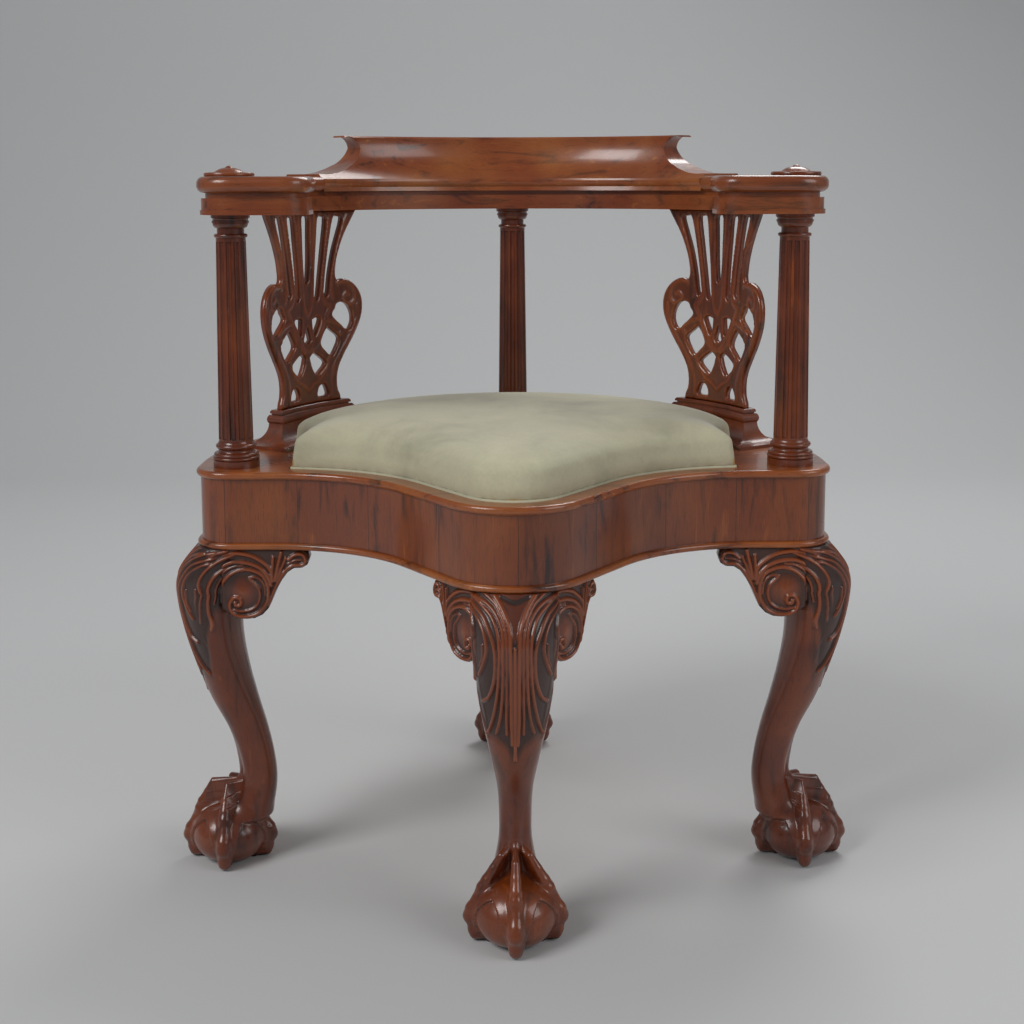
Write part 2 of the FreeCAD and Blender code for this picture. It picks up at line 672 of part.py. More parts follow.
face = size["overhang"]
for hand, side_name in ((-1, "left"), (1, "right")):
    span_x = hand * size["leg_half_span"]
    ear(f"{side_name}_leg_front_ear", side_name + "_leg",
        (span_x, SIDE_Y - face), 0.0, -hand, size["ear_long"])
    ear(f"{side_name}_leg_back_ear", side_name + "_leg",
        (span_x + hand * face, SIDE_Y), hand * (90.0 + size["round_ear_turn"]), hand, size["ear_long"])
    ear(f"front_leg_{side_name}_ear", "front_leg", (0.0, FRONT_Y - face - size["front_ear_ahead"]),
        hand * size["front_ear_turn"], hand, size["front_ear_long"], size["front_ear_squeeze"])
    ear(f"back_leg_{side_name}_ear", "back_leg", (0.0, BACK_Y + face),
        180.0 - hand * size["round_ear_turn"], -hand, size["ear_long"])


# Columns: turned, fluted and pinned into the leg stumps and the arms.
def column(name, place):
    low = size["column_dia_low"] / 2
    top = size["column_dia_top"] / 2
    pin = size["column_tenon"] / 2
    tall = size["arm_underside"] - size["seat_height"]
    body = new_body(name)
    neck = top - 1.4
    steps = [
        ((0.0, -size["low_tenon_long"]), (pin, -size["low_tenon_long"])),
        ((pin, -size["low_tenon_long"]), (pin, 0.0)),
        ((pin, 0.0), (low + 6.3, 0.0)),
        ((low + 6.3, 0.0), (low + 6.3, 8.0)),
        ((low + 6.3, 8.0), (low + 5.0, 8.0)),
        ((low + 5.0, 8.0), (low + 6.6, 10.0), (low + 5.0, 12.0)),
        ((low + 5.0, 12.0), (low + 5.6, 14.0), (low + 3.8, 16.0)),
        ((low + 3.8, 16.0), (low + 0.6, 18.0), (low + 1.6, 20.5)),
        ((low + 1.6, 20.5), (low + 3.4, 23.0), (low + 1.6, 25.5)),
        ((low + 1.6, 25.5), (low + 0.3, 27.5), (low, 31.0)),
        ((low, 31.0), (top + 1.0, tall * 0.62)),
        ((top + 1.0, tall * 0.62), (top, tall - 27.0)),
        ((top, tall - 27.0), (top, tall - 25.0)),
        ((top, tall - 25.0), (top + 2.0, tall - 22.8), (top, tall - 20.5)),
        ((top, tall - 20.5), (neck, tall - 20.5)),
        ((neck, tall - 20.5), (neck, tall - 15.0)),
        ((neck, tall - 15.0), (top + 1.8, tall - 13.0), (top + 3.0, tall - 9.0)),
        ((top + 3.0, tall - 9.0), (top + 3.9, tall - 9.0)),
        ((top + 3.9, tall - 9.0), (top + 3.9, tall - 6.5)),
        ((top + 3.9, tall - 6.5), (top + 2.8, tall - 6.5)),
        ((top + 2.8, tall - 6.5), (top + 3.4, tall - 4.5), (top + 4.8, tall - 3.5)),
        ((top + 4.8, tall - 3.5), (top + 4.8, tall)),
        ((top + 4.8, tall), (pin, tall)),
        ((pin, tall), (pin, tall + size["top_tenon_long"])),
        ((pin, tall + size["top_tenon_long"]), (0.0, tall + size["top_tenon_long"])),
        ((0.0, tall + size["top_tenon_long"]), (0.0, -size["low_tenon_long"])),
    ]
    sketch = sketch_on(body, name + "_profile", "XZ_Plane", steps)
    turned = body.newObject("PartDesign::Revolution", name + "_turned")
    turned.Profile = sketch
    turned.ReferenceAxis = (sketch, ["V_Axis"])
    turned.Angle = 360.0
    body.Tip = turned
    doc.recompute()
    flute_low, flute_high = 31.0, tall - 29.0
    flute = body.newObject("PartDesign::SubtractiveCone", name + "_flute")
    flute.setExpression("Radius1", "Sizes.flute_radius")
    flute.setExpression("Radius2", "Sizes.flute_radius * 0.86")
    flute.Height = flute_high - flute_low
    lean = math.degrees(math.atan2(low - top, flute_high - flute_low))
    flute.Placement = FreeCAD.Placement(vec(low + size["flute_radius"] * 0.2, 0, flute_low),
                                        FreeCAD.Rotation(vec(0, 1, 0), -lean))
    body.Tip = flute
    doc.recompute()
    pattern = body.newObject("PartDesign::PolarPattern", name + "_flutes")
    pattern.Originals = [flute]
    pattern.Axis = (sketch, ["V_Axis"])
    pattern.Angle = 360.0
    pattern.setExpression("Occurrences", "Sizes.flute_count")
    body.Tip = pattern
    body.Placement = FreeCAD.Placement(vec(place[0], place[1], size["seat_height"]), FreeCAD.Rotation())
    return keep(name, body)


columns = [column(name, place) for name, place in COLUMN_PLACES.items()]


# Pierced splats, bent to the round of the bow, and their moulded shoes.
def ring_band(name, inner, outer, low, high):
    foot = vec(0, BOW_Y, low)
    return solid_feature(name, Part.makeCylinder(outer, high - low, foot).cut(
        Part.makeCylinder(inner, high - low, foot)))


SPLAT_LOW = size["seat_height"] + size["shoe_height"]
SPLAT_TALL = size["arm_underside"] - SPLAT_LOW


def splat_outline():
    """Right half then left half of the splat, in width and height above the shoe."""
    tall = SPLAT_TALL
    tongue = size["splat_tongue"]
    right = [
        ((0.0, -tongue), (55.0, -tongue)),
        ((55.0, -tongue), (55.0, 6.0)),
        ((55.0, 6.0), (50.0, 20.0), (53.0, 40.0)),
        ((53.0, 40.0), (74.0, 72.0), (90.0, 103.0)),
        ((90.0, 103.0), (91.0, 133.0), (72.0, 148.0)),
        ((72.0, 148.0), (58.0, 152.0), (50.0, 147.0)),
        ((50.0, 147.0), (54.0, 190.0), (82.0, tall)),
        ((82.0, tall), (82.0, tall + tongue)),
        ((82.0, tall + tongue), (0.0, tall + tongue)),
    ]
    return right + backward(mirrored(right, -1))


def splat_openings():
    """Reed slots, side teardrops, diamonds and little arches, as closed outlines."""
    tall = SPLAT_TALL
    holes = []
    for index in (-2, -1, 0, 1, 2):
        low_s, high_s = 17.0 * index, 27.0 * index
        low_z = 128.0 if index in (-1, 1) else 150.0
        if index in (-2, 2):
            low_z = 132.0
        holes.append([
            ((low_s - 3.5, low_z), (low_s + 3.5, low_z)),
            ((low_s + 3.5, low_z), (low_s + 6.0 + index, (low_z + tall) / 2), (high_s + 6.5, tall - 5)),
            ((high_s + 6.5, tall - 5), (high_s - 6.5, tall - 5)),
            ((high_s - 6.5, tall - 5), (low_s - 6.0 + index, (low_z + tall) / 2), (low_s - 3.5, low_z)),
        ])
    for hand in (-1, 1):
        holes.append(mirrored([((50.0, 118.0), (66.0, 120.0)),
                               ((66.0, 120.0), (76.0, 104.0), (70.0, 88.0)),
                               ((70.0, 88.0), (54.0, 96.0), (42.0, 108.0)),
                               ((42.0, 108.0), (50.0, 118.0))], hand))
        holes.append(mirrored(closed([(36.0, 92.0), (55.0, 76.0), (42.0, 54.0), (24.0, 72.0)]), hand))
        holes.append(mirrored(closed([(9.0, 104.0), (24.0, 104.0), (13.0, 82.0)]), hand))
        holes.append(mirrored(closed([(4.0, 55.0), (14.0, 60.0), (32.0, 46.0), (15.0, 33.0)]), hand))
        holes.append(mirrored([((18.0, 4.0), (34.0, 4.0)),
                               ((34.0, 4.0), (32.0, 16.0)),
                               ((32.0, 16.0), (24.0, 20.0), (18.0, 4.0))], hand))
    holes.append(closed([(-6.0, 76.0), (6.0, 76.0), (0.0, 94.0)]))
    return holes


def splat(name, hand):
    half_thick = size["splat_thick"] / 2
    tongue = size["splat_tongue"]
    band = ring_band(name + "_band", size["splat_radius"] - half_thick, size["splat_radius"] + half_thick,
                     SPLAT_LOW - tongue - 1, size["arm_underside"] + tongue + 1)
    body = new_body(name)
    sketch = sketch_on(body, name + "_outline", "XZ_Plane", splat_outline())
    pad(body, name + "_board", sketch, "Sizes.splat_radius * 1.2", reversed_way=True)
    holes = sketch_on(body, name + "_piercings", "XZ_Plane",
                      [step for hole in splat_openings() for step in hole])
    pocket = body.newObject("PartDesign::Pocket", name + "_pierced")
    pocket.Profile = holes
    pocket.Type = "ThroughAll"
    body.Tip = pocket
    turn = hand * (90.0 - size["splat_angle"])
    body.Placement = FreeCAD.Placement(vec(0, BOW_Y, SPLAT_LOW), FreeCAD.Rotation(vec(0, 0, 1), -turn))
    return keep(name, common(name, band, body))


SHOE_MOULDING = [
    ((1.0, 0.0), (1.0, 0.09)),
    ((1.0, 0.09), (0.30, 0.26), (0.10, 0.62)),
    ((0.10, 0.62), (0.16, 0.72), (0.08, 0.86)),
    ((0.08, 0.86), (0.0, 0.86)),
    ((0.0, 0.86), (0.0, 0.90)),
    ((0.0, 0.90), (0.05, 0.90)),
    ((0.05, 0.90), (0.05, 0.96), (0.0, 1.0)),
]


def shoe_side(start, flare):
    """Moulding of one side of the shoe, outward from a start line and up by the shoe's height."""
    return [tuple((start + reach * flare, rise * size["shoe_height"]) for reach, rise in step)
            for step in SHOE_MOULDING]


def shoe(name, hand, tongue):
    """Shoe bent to the bow, with its moulding returned round both ends and a mortise for its splat."""
    middle = size["splat_radius"]
    top = size["shoe_top"] / 2
    flare = (size["shoe_base"] - size["shoe_top"]) / 2
    outer = shoe_side(middle + top, flare)
    inner = [tuple((2 * middle - x, y) for x, y in step) for step in outer]
    swept_body = new_body(name)
    sketch = sketch_on(swept_body, name + "_profile", "XZ_Plane", joined(outer, backward(inner)))
    swept = swept_body.newObject("PartDesign::Revolution", name + "_swept")
    swept.Profile = sketch
    swept.ReferenceAxis = (sketch, ["V_Axis"])
    swept.setExpression("Angle", "2 * Sizes.shoe_half_angle")
    swept.Midplane = True
    swept_body.Tip = swept
    turn = size["splat_angle"] if hand > 0 else 180.0 - size["splat_angle"]
    place = vec(0, BOW_Y, size["seat_height"])
    swept_body.Placement = FreeCAD.Placement(place, FreeCAD.Rotation(vec(0, 0, 1), turn))
    end_body = new_body(name + "_ends")
    end = shoe_side(size["shoe_end_top"], size["shoe_end_flare"])
    sketch = sketch_on(end_body, name + "_end_profile", "XZ_Plane", joined(end, backward(mirrored(end, -1))))
    pad(end_body, name + "_end_pad", sketch, "Sizes.splat_radius * 1.2", reversed_way=True)
    end_body.Placement = FreeCAD.Placement(place, FreeCAD.Rotation(vec(0, 0, 1), turn - 90.0))
    return keep(name, cut(name, common(name + "_moulded", swept_body, end_body), [tongue]))


splats = []
for hand, side_name in ((-1, "left"), (1, "right")):
    splats.append(splat(side_name + "_splat", hand))
    shoe(side_name + "_shoe", hand, splats[-1])


# Arms and back bow: bead, flat edge, hollow and rounded top layer.
def arm_steps(grow):
    """Plan of the right arm from the splice to the pad and back, grown outward."""
    outer = BOW_RADIUS + size["arm_half_wide"] + grow
    inner = BOW_RADIUS - size["arm_half_wide"] - grow
    front = SIDE_Y - size["pad_front"] - grow
    back = SIDE_Y + size["pad_back"] + grow
    inside = size["pad_inner"] - grow
    outer_r = size["pad_outer_radius"] + grow
    inner_r = size["pad_inner_radius"] + grow
    tail_r = size["pad_tail_radius"] + grow
    fillet = size["pad_fillet"] - grow
    splice = size["splice_angle"]
    fillet_y = back + fillet
    fillet_x = math.sqrt((inner - fillet) ** 2 - (fillet_y - BOW_Y) ** 2)
    meet = math.degrees(math.atan2(fillet_y - BOW_Y, fillet_x))
    return joined(
        [arc_step(BOW, outer, splice, 0)],
        [arc_step((outer - outer_r, front + outer_r), outer_r, 0, -90)],
        [arc_step((inside + inner_r, front + inner_r), inner_r, -90, -180)],
        [arc_step((inside + tail_r, back - tail_r), tail_r, 180, 90)],
        [arc_step((fillet_x, fillet_y), fillet, -90, meet)],
        [arc_step(BOW, inner, meet, splice)],
    )


def bow_steps(grow):
    outer = BOW_RADIUS + size["arm_half_wide"] + grow
    inner = BOW_RADIUS - size["arm_half_wide"] - grow
    splice = size["splice_angle"]
    return joined([arc_step(BOW, outer, splice, 180 - splice)], [arc_step(BOW, inner, 180 - splice, splice)])


ARM_LAYERS = [
    ("bead", -size["fascia_inset"] + 1.5, "Sizes.arm_underside", "Sizes.arm_bead"),
    ("fascia", -size["fascia_inset"], "Sizes.arm_underside + Sizes.arm_bead", "Sizes.arm_fascia"),
    ("hollow", -size["hollow_inset"], "Sizes.arm_underside + Sizes.arm_bead + Sizes.arm_fascia",
     "Sizes.arm_hollow"),
    ("cap", 0.0, "Sizes.arm_underside + Sizes.arm_bead + Sizes.arm_fascia + Sizes.arm_hollow",
     "Sizes.arm_cap"),
]


def layered(name, steps_of, hand, layers):
    body = new_body(name)
    for layer, grow, lift, thick in layers:
        sketch = sketch_on(body, f"{name}_{layer}_plan", "XY_Plane", mirrored(steps_of(grow), hand), lift)
        pad(body, f"{name}_{layer}", sketch, thick)
    return body


def is_arm_rim(edge, middle):
    """True for the edges along the outline at the foot and at the top of the top layer."""
    level = min(abs(middle.z - ARM_TOP), abs(middle.z - ARM_TOP + size["arm_cap"])) < 0.01
    spot = Part.Vertex(vec(abs(middle.x), middle.y))
    rim = [curve.toShape() for curve in curves(arm_steps(0.0)[:-1])]
    return level and any(spot.distToShape(edge_of_rim)[0] < 0.01 for edge_of_rim in rim)


boss_holes = []
for hand, side_name in ((-1, "left"), (1, "right")):
    boss_holes.append(cylinder(side_name + "_boss_hole", (hand * size["leg_half_span"], SIDE_Y,
                                                         ARM_TOP - size["top_tenon_long"] / 2),
                               "Sizes.boss_pin / 2", "Sizes.top_tenon_long"))

for hand, side_name in ((-1, "left"), (1, "right")):
    name = side_name + "_arm"
    body = layered(name, arm_steps, hand, ARM_LAYERS)
    round_edges(body, name + "_round", "Sizes.arm_cap * 0.44", is_arm_rim)
    keep(name, cut(name, body, columns + splats + boss_holes))

# The crest rail takes the place of the top layer on the bow.
bow_body = layered("arm_bow", bow_steps, 1, ARM_LAYERS[:3])
SCREW_ANGLES = (62.0, 80.0, 100.0, 118.0)


def screws_shape():
    """Countersunk screws through the bow into the crest rail."""
    head = size["screw_head"] / 2
    shank = size["screw_dia"] / 2
    made = []
    for angle in SCREW_ANGLES:
        x, y = polar(BOW, BOW_RADIUS + size["screw_setback"], angle)
        foot = vec(x, y, size["arm_underside"])
        cone = Part.makeCone(head, shank, head, foot)
        made.append(cone.fuse(Part.makeCylinder(shank, size["screw_long"], foot)).removeSplitter())
    return Part.makeCompound(made)


crest_screws = solid_feature("crest_screws_shape", screws_shape())
keep("arm_bow", cut("arm_bow", bow_body, columns + splats + [crest_screws]))
keep("crest_screws", crest_screws)


# Crest rail: hollow front, scooped ends, screwed down on the bow.
CREST_LOW = FASCIA_TOP + size["arm_hollow"]


def scoop(name, hand):
    """Cutter of one scooped end: a curled lip above, a deep hollow and a long tail down to the arm."""
    reach, lip, low = size["scoop_reach"], size["scoop_lip"], size["scoop_low"]
    away = 110.0
    body = new_body(name)
    steps = [
        ((-lip, low), (-lip, -2.0)),
        ((-lip, -2.0), (-reach * 0.84, -5.5), (-reach, -low * 0.32)),
        ((-reach, -low * 0.32), (-reach * 0.78, -low * 0.58), (-reach * 0.35, -low * 0.77)),
        ((-reach * 0.35, -low * 0.77), (reach * 0.35, -low * 0.94), (reach * 1.3, -low)),
        ((reach * 1.3, -low), (away, -low)),
        ((away, -low), (away, low)),
        ((away, low), (-lip, low)),
    ]
    sketch = sketch_on(body, name + "_outline", "XZ_Plane", mirrored(steps, hand))
    pad(body, name + "_pad", sketch, "Sizes.crest_front + Sizes.scoop_radial", reversed_way=True)
    turn = FreeCAD.Rotation(vec(0, 0, 1), hand * (size["scoop_angle"] - 90.0))
    body.Placement = FreeCAD.Placement(vec(0, BOW_Y, CREST_LOW + size["crest_tall"]), turn)
    return body


def crest():
    name = "crest_rail"
    inner = BOW_RADIUS - size["arm_half_wide"]
    outer = BOW_RADIUS + size["arm_half_wide"]
    front = size["crest_front"]
    back = front + size["crest_top_thick"]
    high = size["crest_tall"]
    body = new_body(name)
    steps = [
        ((inner + 1.0, 0.0), (outer - 1.0, 0.0)),
        ((outer - 1.0, 0.0), (outer, 8.0), (outer - 1.5, 16.0)),
        ((outer - 1.5, 16.0), (back + 4.0, high * 0.62), (back, high - 4.0)),
        ((back, high - 4.0), (back - 1.2, high - 1.2), (back - 4.0, high)),
        ((back - 4.0, high), (front + 2.0, high)),
        ((front + 2.0, high), (front, high - 2.0)),
        ((front, high - 2.0), (front - 6.0, high * 0.5), (inner + 3.0, 15.0)),
        ((inner + 3.0, 15.0), (inner, 15.0)),
        ((inner, 15.0), (inner - 0.5, 9.0), (inner + 2.0, 5.0)),
        ((inner + 2.0, 5.0), (inner + 1.0, 0.0)),
    ]
    sketch = sketch_on(body, name + "_profile", "XZ_Plane", steps)
    swept = body.newObject("PartDesign::Revolution", name + "_swept")
    swept.Profile = sketch
    swept.ReferenceAxis = (sketch, ["V_Axis"])
    swept.setExpression("Angle", "180 - 2 * Sizes.splice_angle")
    swept.Midplane = True
    body.Tip = swept
    body.Placement = FreeCAD.Placement(vec(0, BOW_Y, CREST_LOW), FreeCAD.Rotation(vec(0, 0, 1), 90))
    scoops = [scoop(side_name + "_scoop", hand) for hand, side_name in ((-1, "left"), (1, "right"))]
    return keep(name, cut(name, body, scoops + [crest_screws]))


crest()


# Turned bosses on the arm pads.
def boss(name, hand):
    radius = size["boss_dia"] / 2
    tall = size["boss_height"]
    rim = size["boss_rim"]
    pin = size["boss_pin"] / 2
    depth = size["top_tenon_long"] / 2
    button = radius * 0.16
    button_round = button * 1.25
    button_edge = math.degrees(math.acos(button / button_round))
    body = new_body(name)
    steps = [
        ((0.0, -depth), (pin, -depth)),
        ((pin, -depth), (pin, 0.0)),
        ((pin, 0.0), (radius - 0.8, 0.0)),
        ((radius - 0.8, 0.0), (radius, rim / 2), (radius - 0.8, rim)),
        ((radius - 0.8, rim), (radius * 0.58, rim + 0.8)),
        ((radius * 0.58, rim + 0.8), (radius * 0.42, rim + 3.6), (button, tall - button / 2)),
        arc_step((0.0, tall - button_round), button_round, button_edge, 90),
        ((0.0, tall), (0.0, -depth)),
    ]
    sketch = sketch_on(body, name + "_profile", "XZ_Plane", steps)
    turned = body.newObject("PartDesign::Revolution", name + "_turned")
    turned.Profile = sketch
    turned.ReferenceAxis = (sketch, ["V_Axis"])
    turned.Angle = 360.0
    body.Tip = turned
    body.Placement = FreeCAD.Placement(vec(hand * size["leg_half_span"], SIDE_Y, ARM_TOP), FreeCAD.Rotation())
    return keep(name, body)


boss("left_boss", -1)
boss("right_boss", 1)


# Drop-in seat: mitred frame, webbing, hessian, stuffing, cover and tacks.
SEAT_MIDDLE = (0.0, SIDE_Y + size["cusp_back"])
SEAT_REACH = SEAT_MIDDLE[1] - LOBE[1] + size["lobe_radius"] - size["rim"]


def plate(steps, low, thick, scale=1.0):
    return Part.Face(wire_at(steps, low, scale, SEAT_MIDDLE)).extrude(vec(0, 0, thick))


def tack_places():
    """Places of the tacks at even steps along both halves of the frame."""
    half = joined_open(front_opening(size["tack_inset"]), back_opening(size["tack_inset"]))
    path = Part.Wire([curve.toShape() for curve in curves(half)])
    count = int(size["tack_count"]) // 2
    stations = path.discretize(Number=2 * count + 1)[1::2]
    return [(hand * spot.x, spot.y) for hand in (-1, 1) for spot in stations]


def tacks_shape():
    head, shank = size["tack_head"] / 2, size["tack_shank"] / 2
    made = []
    for x, y in tack_places():
        disc = Part.makeCylinder(head, size["tack_head_thick"], vec(x, y, RAIL_TOP - size["tack_head_thick"]))
        pin = Part.makeCylinder(shank, size["tack_long"], vec(x, y, RAIL_TOP))
        made.append(disc.fuse(pin).removeSplitter())
    return Part.makeCompound(made)


tacks = keep("seat_tacks", solid_feature("seat_tacks", tacks_shape()))

for name, hand, profile, opening in QUARTERS:
    outer = opening(size["frame_gap"])
    inner = frame_edge(size["frame_gap"] + size["frame_wide"], name.split("_")[0])
    node = "seat_frame_" + name
    body = quarter_solid(node, hand, joined(outer, backward(inner)),
                         "Sizes.seat_height - Sizes.capping_thick + Sizes.cover_thick", "Sizes.frame_thick")
    keep(node, cut(node, body, [tacks]))


def webbing_shape():
    """Straps laid across and along the frame, clipped to its plan."""
    wide = size["webbing_wide"]
    pitch = wide * 1.25
    reach = 2 * size["opening_radius"]
    straps = []
    for index in range(-3, 4):
        middle = index * pitch
        straps.append(Part.makeBox(wide, 2 * reach, size["webbing_thick"],
                                   vec(middle - wide / 2, -reach, FRAME_TOP)))
        straps.append(Part.makeBox(2 * reach, wide, size["webbing_thick"],
                                   vec(-reach, SEAT_MIDDLE[1] + middle - wide / 2, FRAME_TOP)))
    grid = straps[0].multiFuse(straps[1:]).removeSplitter()
    return plate(seat_outline(size["frame_gap"]), FRAME_TOP, size["webbing_thick"], 0.985).common(grid)


HESSIAN_LOW = FRAME_TOP + size["webbing_thick"]
STUFFING_LOW = HESSIAN_LOW + size["hessian_thick"] + size["soft_gap"]
keep("seat_webbing", solid_feature("seat_webbing", webbing_shape()))
hessian = plate(seat_outline(size["frame_gap"]), HESSIAN_LOW, size["hessian_thick"], 0.98)
keep("seat_hessian", solid_feature("seat_hessian", hessian))

# Cushion: share of the rise and share of the opening's plan for each section of the crown.
CROWN = [(0.0, 0.992), (0.18, 0.992), (0.36, 1.0), (0.52, 0.992), (0.66, 0.96), (0.78, 0.905),
         (0.88, 0.82), (0.95, 0.70), (0.985, 0.55), (1.0, 0.34)]


def crown_shape(low, drop, shrink):
    """Crowned block from a level up to the top of the cushion less a drop, its plan shrunk all round."""
    outline = seat_outline(0.0)
    high = size["crown_height"] - drop
    ratio = 1.0 - shrink / SEAT_REACH
    sections = [wire_at(outline, low + rise * (high - low), scale * ratio, SEAT_MIDDLE)
                for rise, scale in CROWN]
    return Part.makeLoft(sections, True, True)


thick = size["cover_thick"]
cavity = crown_shape(FRAME_LOW, thick, thick)
hem = plate(seat_outline(size["tack_inset"] + size["tack_head"]), RAIL_TOP, size["cover_thick"])
cover = crown_shape(RAIL_TOP, 0.0, 0.0).cut(cavity).cut(hem).cut(tacks.Shape)
keep("seat_cover", solid_feature("seat_cover", cover))

gap = size["soft_gap"]
block = crown_shape(FRAME_LOW, thick + 1.5 * gap, thick + 1.5 * gap)
low_part = plate(seat_outline(-size["rim"]), RAIL_TOP, STUFFING_LOW - RAIL_TOP)
keep("seat_stuffing", solid_feature("seat_stuffing", block.cut(low_part)))


# Checks before export: no failed object and every sub-part a valid closed shape.
doc.recompute()
faults = []
for item in doc.Objects:
    if "Invalid" in item.State or "Error" in item.State:
        faults.append(f"{item.Name}: {item.State}")
for name, node in nodes.items():
    shape = node.Shape
    if shape.isNull() or not shape.isValid() or not shape.Solids:
        faults.append(f"{name}: shape is null, invalid or has no solid")
if faults:
    raise RuntimeError("; ".join(faults))

os.makedirs("parts", exist_ok=True)
for name, node in nodes.items():
    node.Shape.exportStep(f"parts/{name}.step")
print(len(nodes), "nodes written")
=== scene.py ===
"""Corner chair with carved cabriole legs, a drop-in seat and a half-round arm bow, dressed for rendering.

Lengths are metres and the frame is the chair's own: +Z up, the front leg towards -Y.
"""
import math

import bmesh
import bpy
import numpy as np
from mathutils import Matrix, Vector
from mathutils.geometry import delaunay_2d_cdt


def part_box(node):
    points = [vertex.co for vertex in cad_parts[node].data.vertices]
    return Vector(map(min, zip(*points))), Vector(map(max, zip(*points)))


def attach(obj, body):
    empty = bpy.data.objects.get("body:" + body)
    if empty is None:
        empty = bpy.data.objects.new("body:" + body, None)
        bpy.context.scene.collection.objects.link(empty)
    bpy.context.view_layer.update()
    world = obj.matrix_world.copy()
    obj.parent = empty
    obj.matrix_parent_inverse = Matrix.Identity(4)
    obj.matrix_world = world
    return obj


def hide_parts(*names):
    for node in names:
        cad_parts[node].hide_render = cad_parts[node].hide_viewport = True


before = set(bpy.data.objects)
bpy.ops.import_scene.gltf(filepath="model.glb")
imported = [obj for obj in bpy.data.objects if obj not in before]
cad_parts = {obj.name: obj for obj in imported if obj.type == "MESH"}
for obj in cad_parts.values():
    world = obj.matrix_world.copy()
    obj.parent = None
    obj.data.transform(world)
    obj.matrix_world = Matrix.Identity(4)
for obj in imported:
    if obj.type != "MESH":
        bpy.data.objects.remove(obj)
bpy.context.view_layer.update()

bl_info = {
    "name": "Corner chair",
    "version": (1, 0, 0),
    "blender": (4, 5, 0),
    "location": "View3D > Sidebar > Chair",
    "description": "Dresses a corner chair with carved legs, pierced splats and an upholstered seat",
    "category": "Object",
}

CHAIR, SEAT = "chair", "drop_in_seat"
QUARTERS = ("front_left", "front_right", "back_left", "back_right")
MM = 0.001

# Places read from the frame.
APRON_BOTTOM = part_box("front_left_rail")[0].z
SEAT_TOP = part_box("front_left_capping")[1].z
COLUMN = {name: sum(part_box(name + "_column"), Vector()) / 2 for name in ("left", "right", "back")}
HALF_SPAN = COLUMN["right"].x
SIDE_Y = COLUMN["right"].y
BACK_Y = COLUMN["back"].y
BOW_RADIUS = (HALF_SPAN ** 2 + (BACK_Y - SIDE_Y) ** 2) / (2 * (BACK_Y - SIDE_Y))
BOW_Y = BACK_Y - BOW_RADIUS
# Tops of the legs between the rails, from their nodes above the apron's bottom.
NODE_TOPS = {}
for leg_name in ("front_leg", "left_leg", "right_leg", "back_leg"):
    tops = [v.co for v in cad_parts[leg_name].data.vertices if v.co.z > APRON_BOTTOM + 10 * MM]
    NODE_TOPS[leg_name] = [tuple(pick(v[i] for v in tops) for i in range(3)) for pick in (min, max)]


# Joints between the leaves of a cross-grain facing: where they start and how wide a line they leave.
JOINT_START, JOINT_LINE = 10.03, 0.8 * MM


def hex_linear(value):
    """Linear colour with alpha from an sRGB hex value such as 7a3a16."""
    channels = [int(value[i:i + 2], 16) / 255 for i in (0, 2, 4)]
    return tuple(c / 12.92 if c <= 0.04045 else ((c + 0.055) / 1.055) ** 2.4 for c in channels) + (1.0,)


# Settings that a user would change.
class ChairColours(bpy.types.PropertyGroup):
    """Colours of the chair's finishes."""

    wood_dark: bpy.props.FloatVectorProperty(
        name="Dark wood", description="Grain lines and deep tone of the polished wood",
        subtype="COLOR", size=4, min=0, max=1, default=hex_linear("2e1007"))
    wood_mid: bpy.props.FloatVectorProperty(
        name="Wood", description="Main tone of the polished wood",
        subtype="COLOR", size=4, min=0, max=1, default=hex_linear("65290d"))
    # This tone is also painted as highlight on the high spots of the carving.
    wood_light: bpy.props.FloatVectorProperty(
        name="Light wood", description="Rubbed and sunlit tone of the polished wood",
        subtype="COLOR", size=4, min=0, max=1, default=hex_linear("a4501a"))
    # This colour is painted shade with old wax in the hollows of the carving, and the dark joint lines of the
    # facings.
    patina_and_shade: bpy.props.FloatVectorProperty(
        name="Patina", description="Old wax and dirt in the hollows of the carving",
        subtype="COLOR", size=4, min=0, max=1, default=hex_linear("1a0a05"))
    cover: bpy.props.FloatVectorProperty(
        name="Seat cover", description="Pale suede-like cloth of the drop-in seat",
        subtype="COLOR", size=4, min=0, max=1, default=hex_linear("c4bfa2"))
    backdrop: bpy.props.FloatVectorProperty(
        name="Backdrop", description="Plain floor and wall",
        subtype="COLOR", size=4, min=0, max=1, default=hex_linear("d2d2d2"))


class ChairSizes(bpy.types.PropertyGroup):
    """Sizes of the chair's dressed pieces that a user would change."""

    carving_depth: bpy.props.FloatProperty(
        name="Carving depth", description="Height of the leaves on the knees",
        default=3.2 * MM, unit="LENGTH", subtype="DISTANCE")
    webbing_width: bpy.props.FloatProperty(
        name="Webbing width", description="Width of one strap under the seat",
        default=50 * MM, unit="LENGTH", subtype="DISTANCE")


def colours():
    return bpy.context.scene.chair_colours


def sizes():
    return bpy.context.scene.chair_sizes


# Materials.
def set_inputs(tree, node, inputs):
    """Gives a node's inputs their values, or links them to the outputs of other nodes."""
    for socket, value in inputs.items() if isinstance(inputs, dict) else enumerate(inputs):
        if isinstance(value, bpy.types.NodeSocket):
            tree.links.new(value, node.inputs[socket])
        else:
            node.inputs[socket].default_value = value


def add_node(tree, kind, inputs=(), output=0, stops=(), **settings):
    """Adds a node with its settings and inputs, and the stops of a colour ramp. Gives back one output."""
    node = tree.nodes.new(kind)
    for name, value in settings.items():
        setattr(node, name, value)
    steps = node.color_ramp.elements if stops else ()
    while len(steps) < len(stops):
        steps.new(0.5)
    for step, (position, colour) in zip(steps, stops):
        step.position = position
        step.color = colour
    set_inputs(tree, node, inputs)
    return node.outputs[output]


def new_material(name):
    material = bpy.data.materials.new(name)
    material.use_nodes = True
    return material, material.node_tree, material.node_tree.nodes["Principled BSDF"]


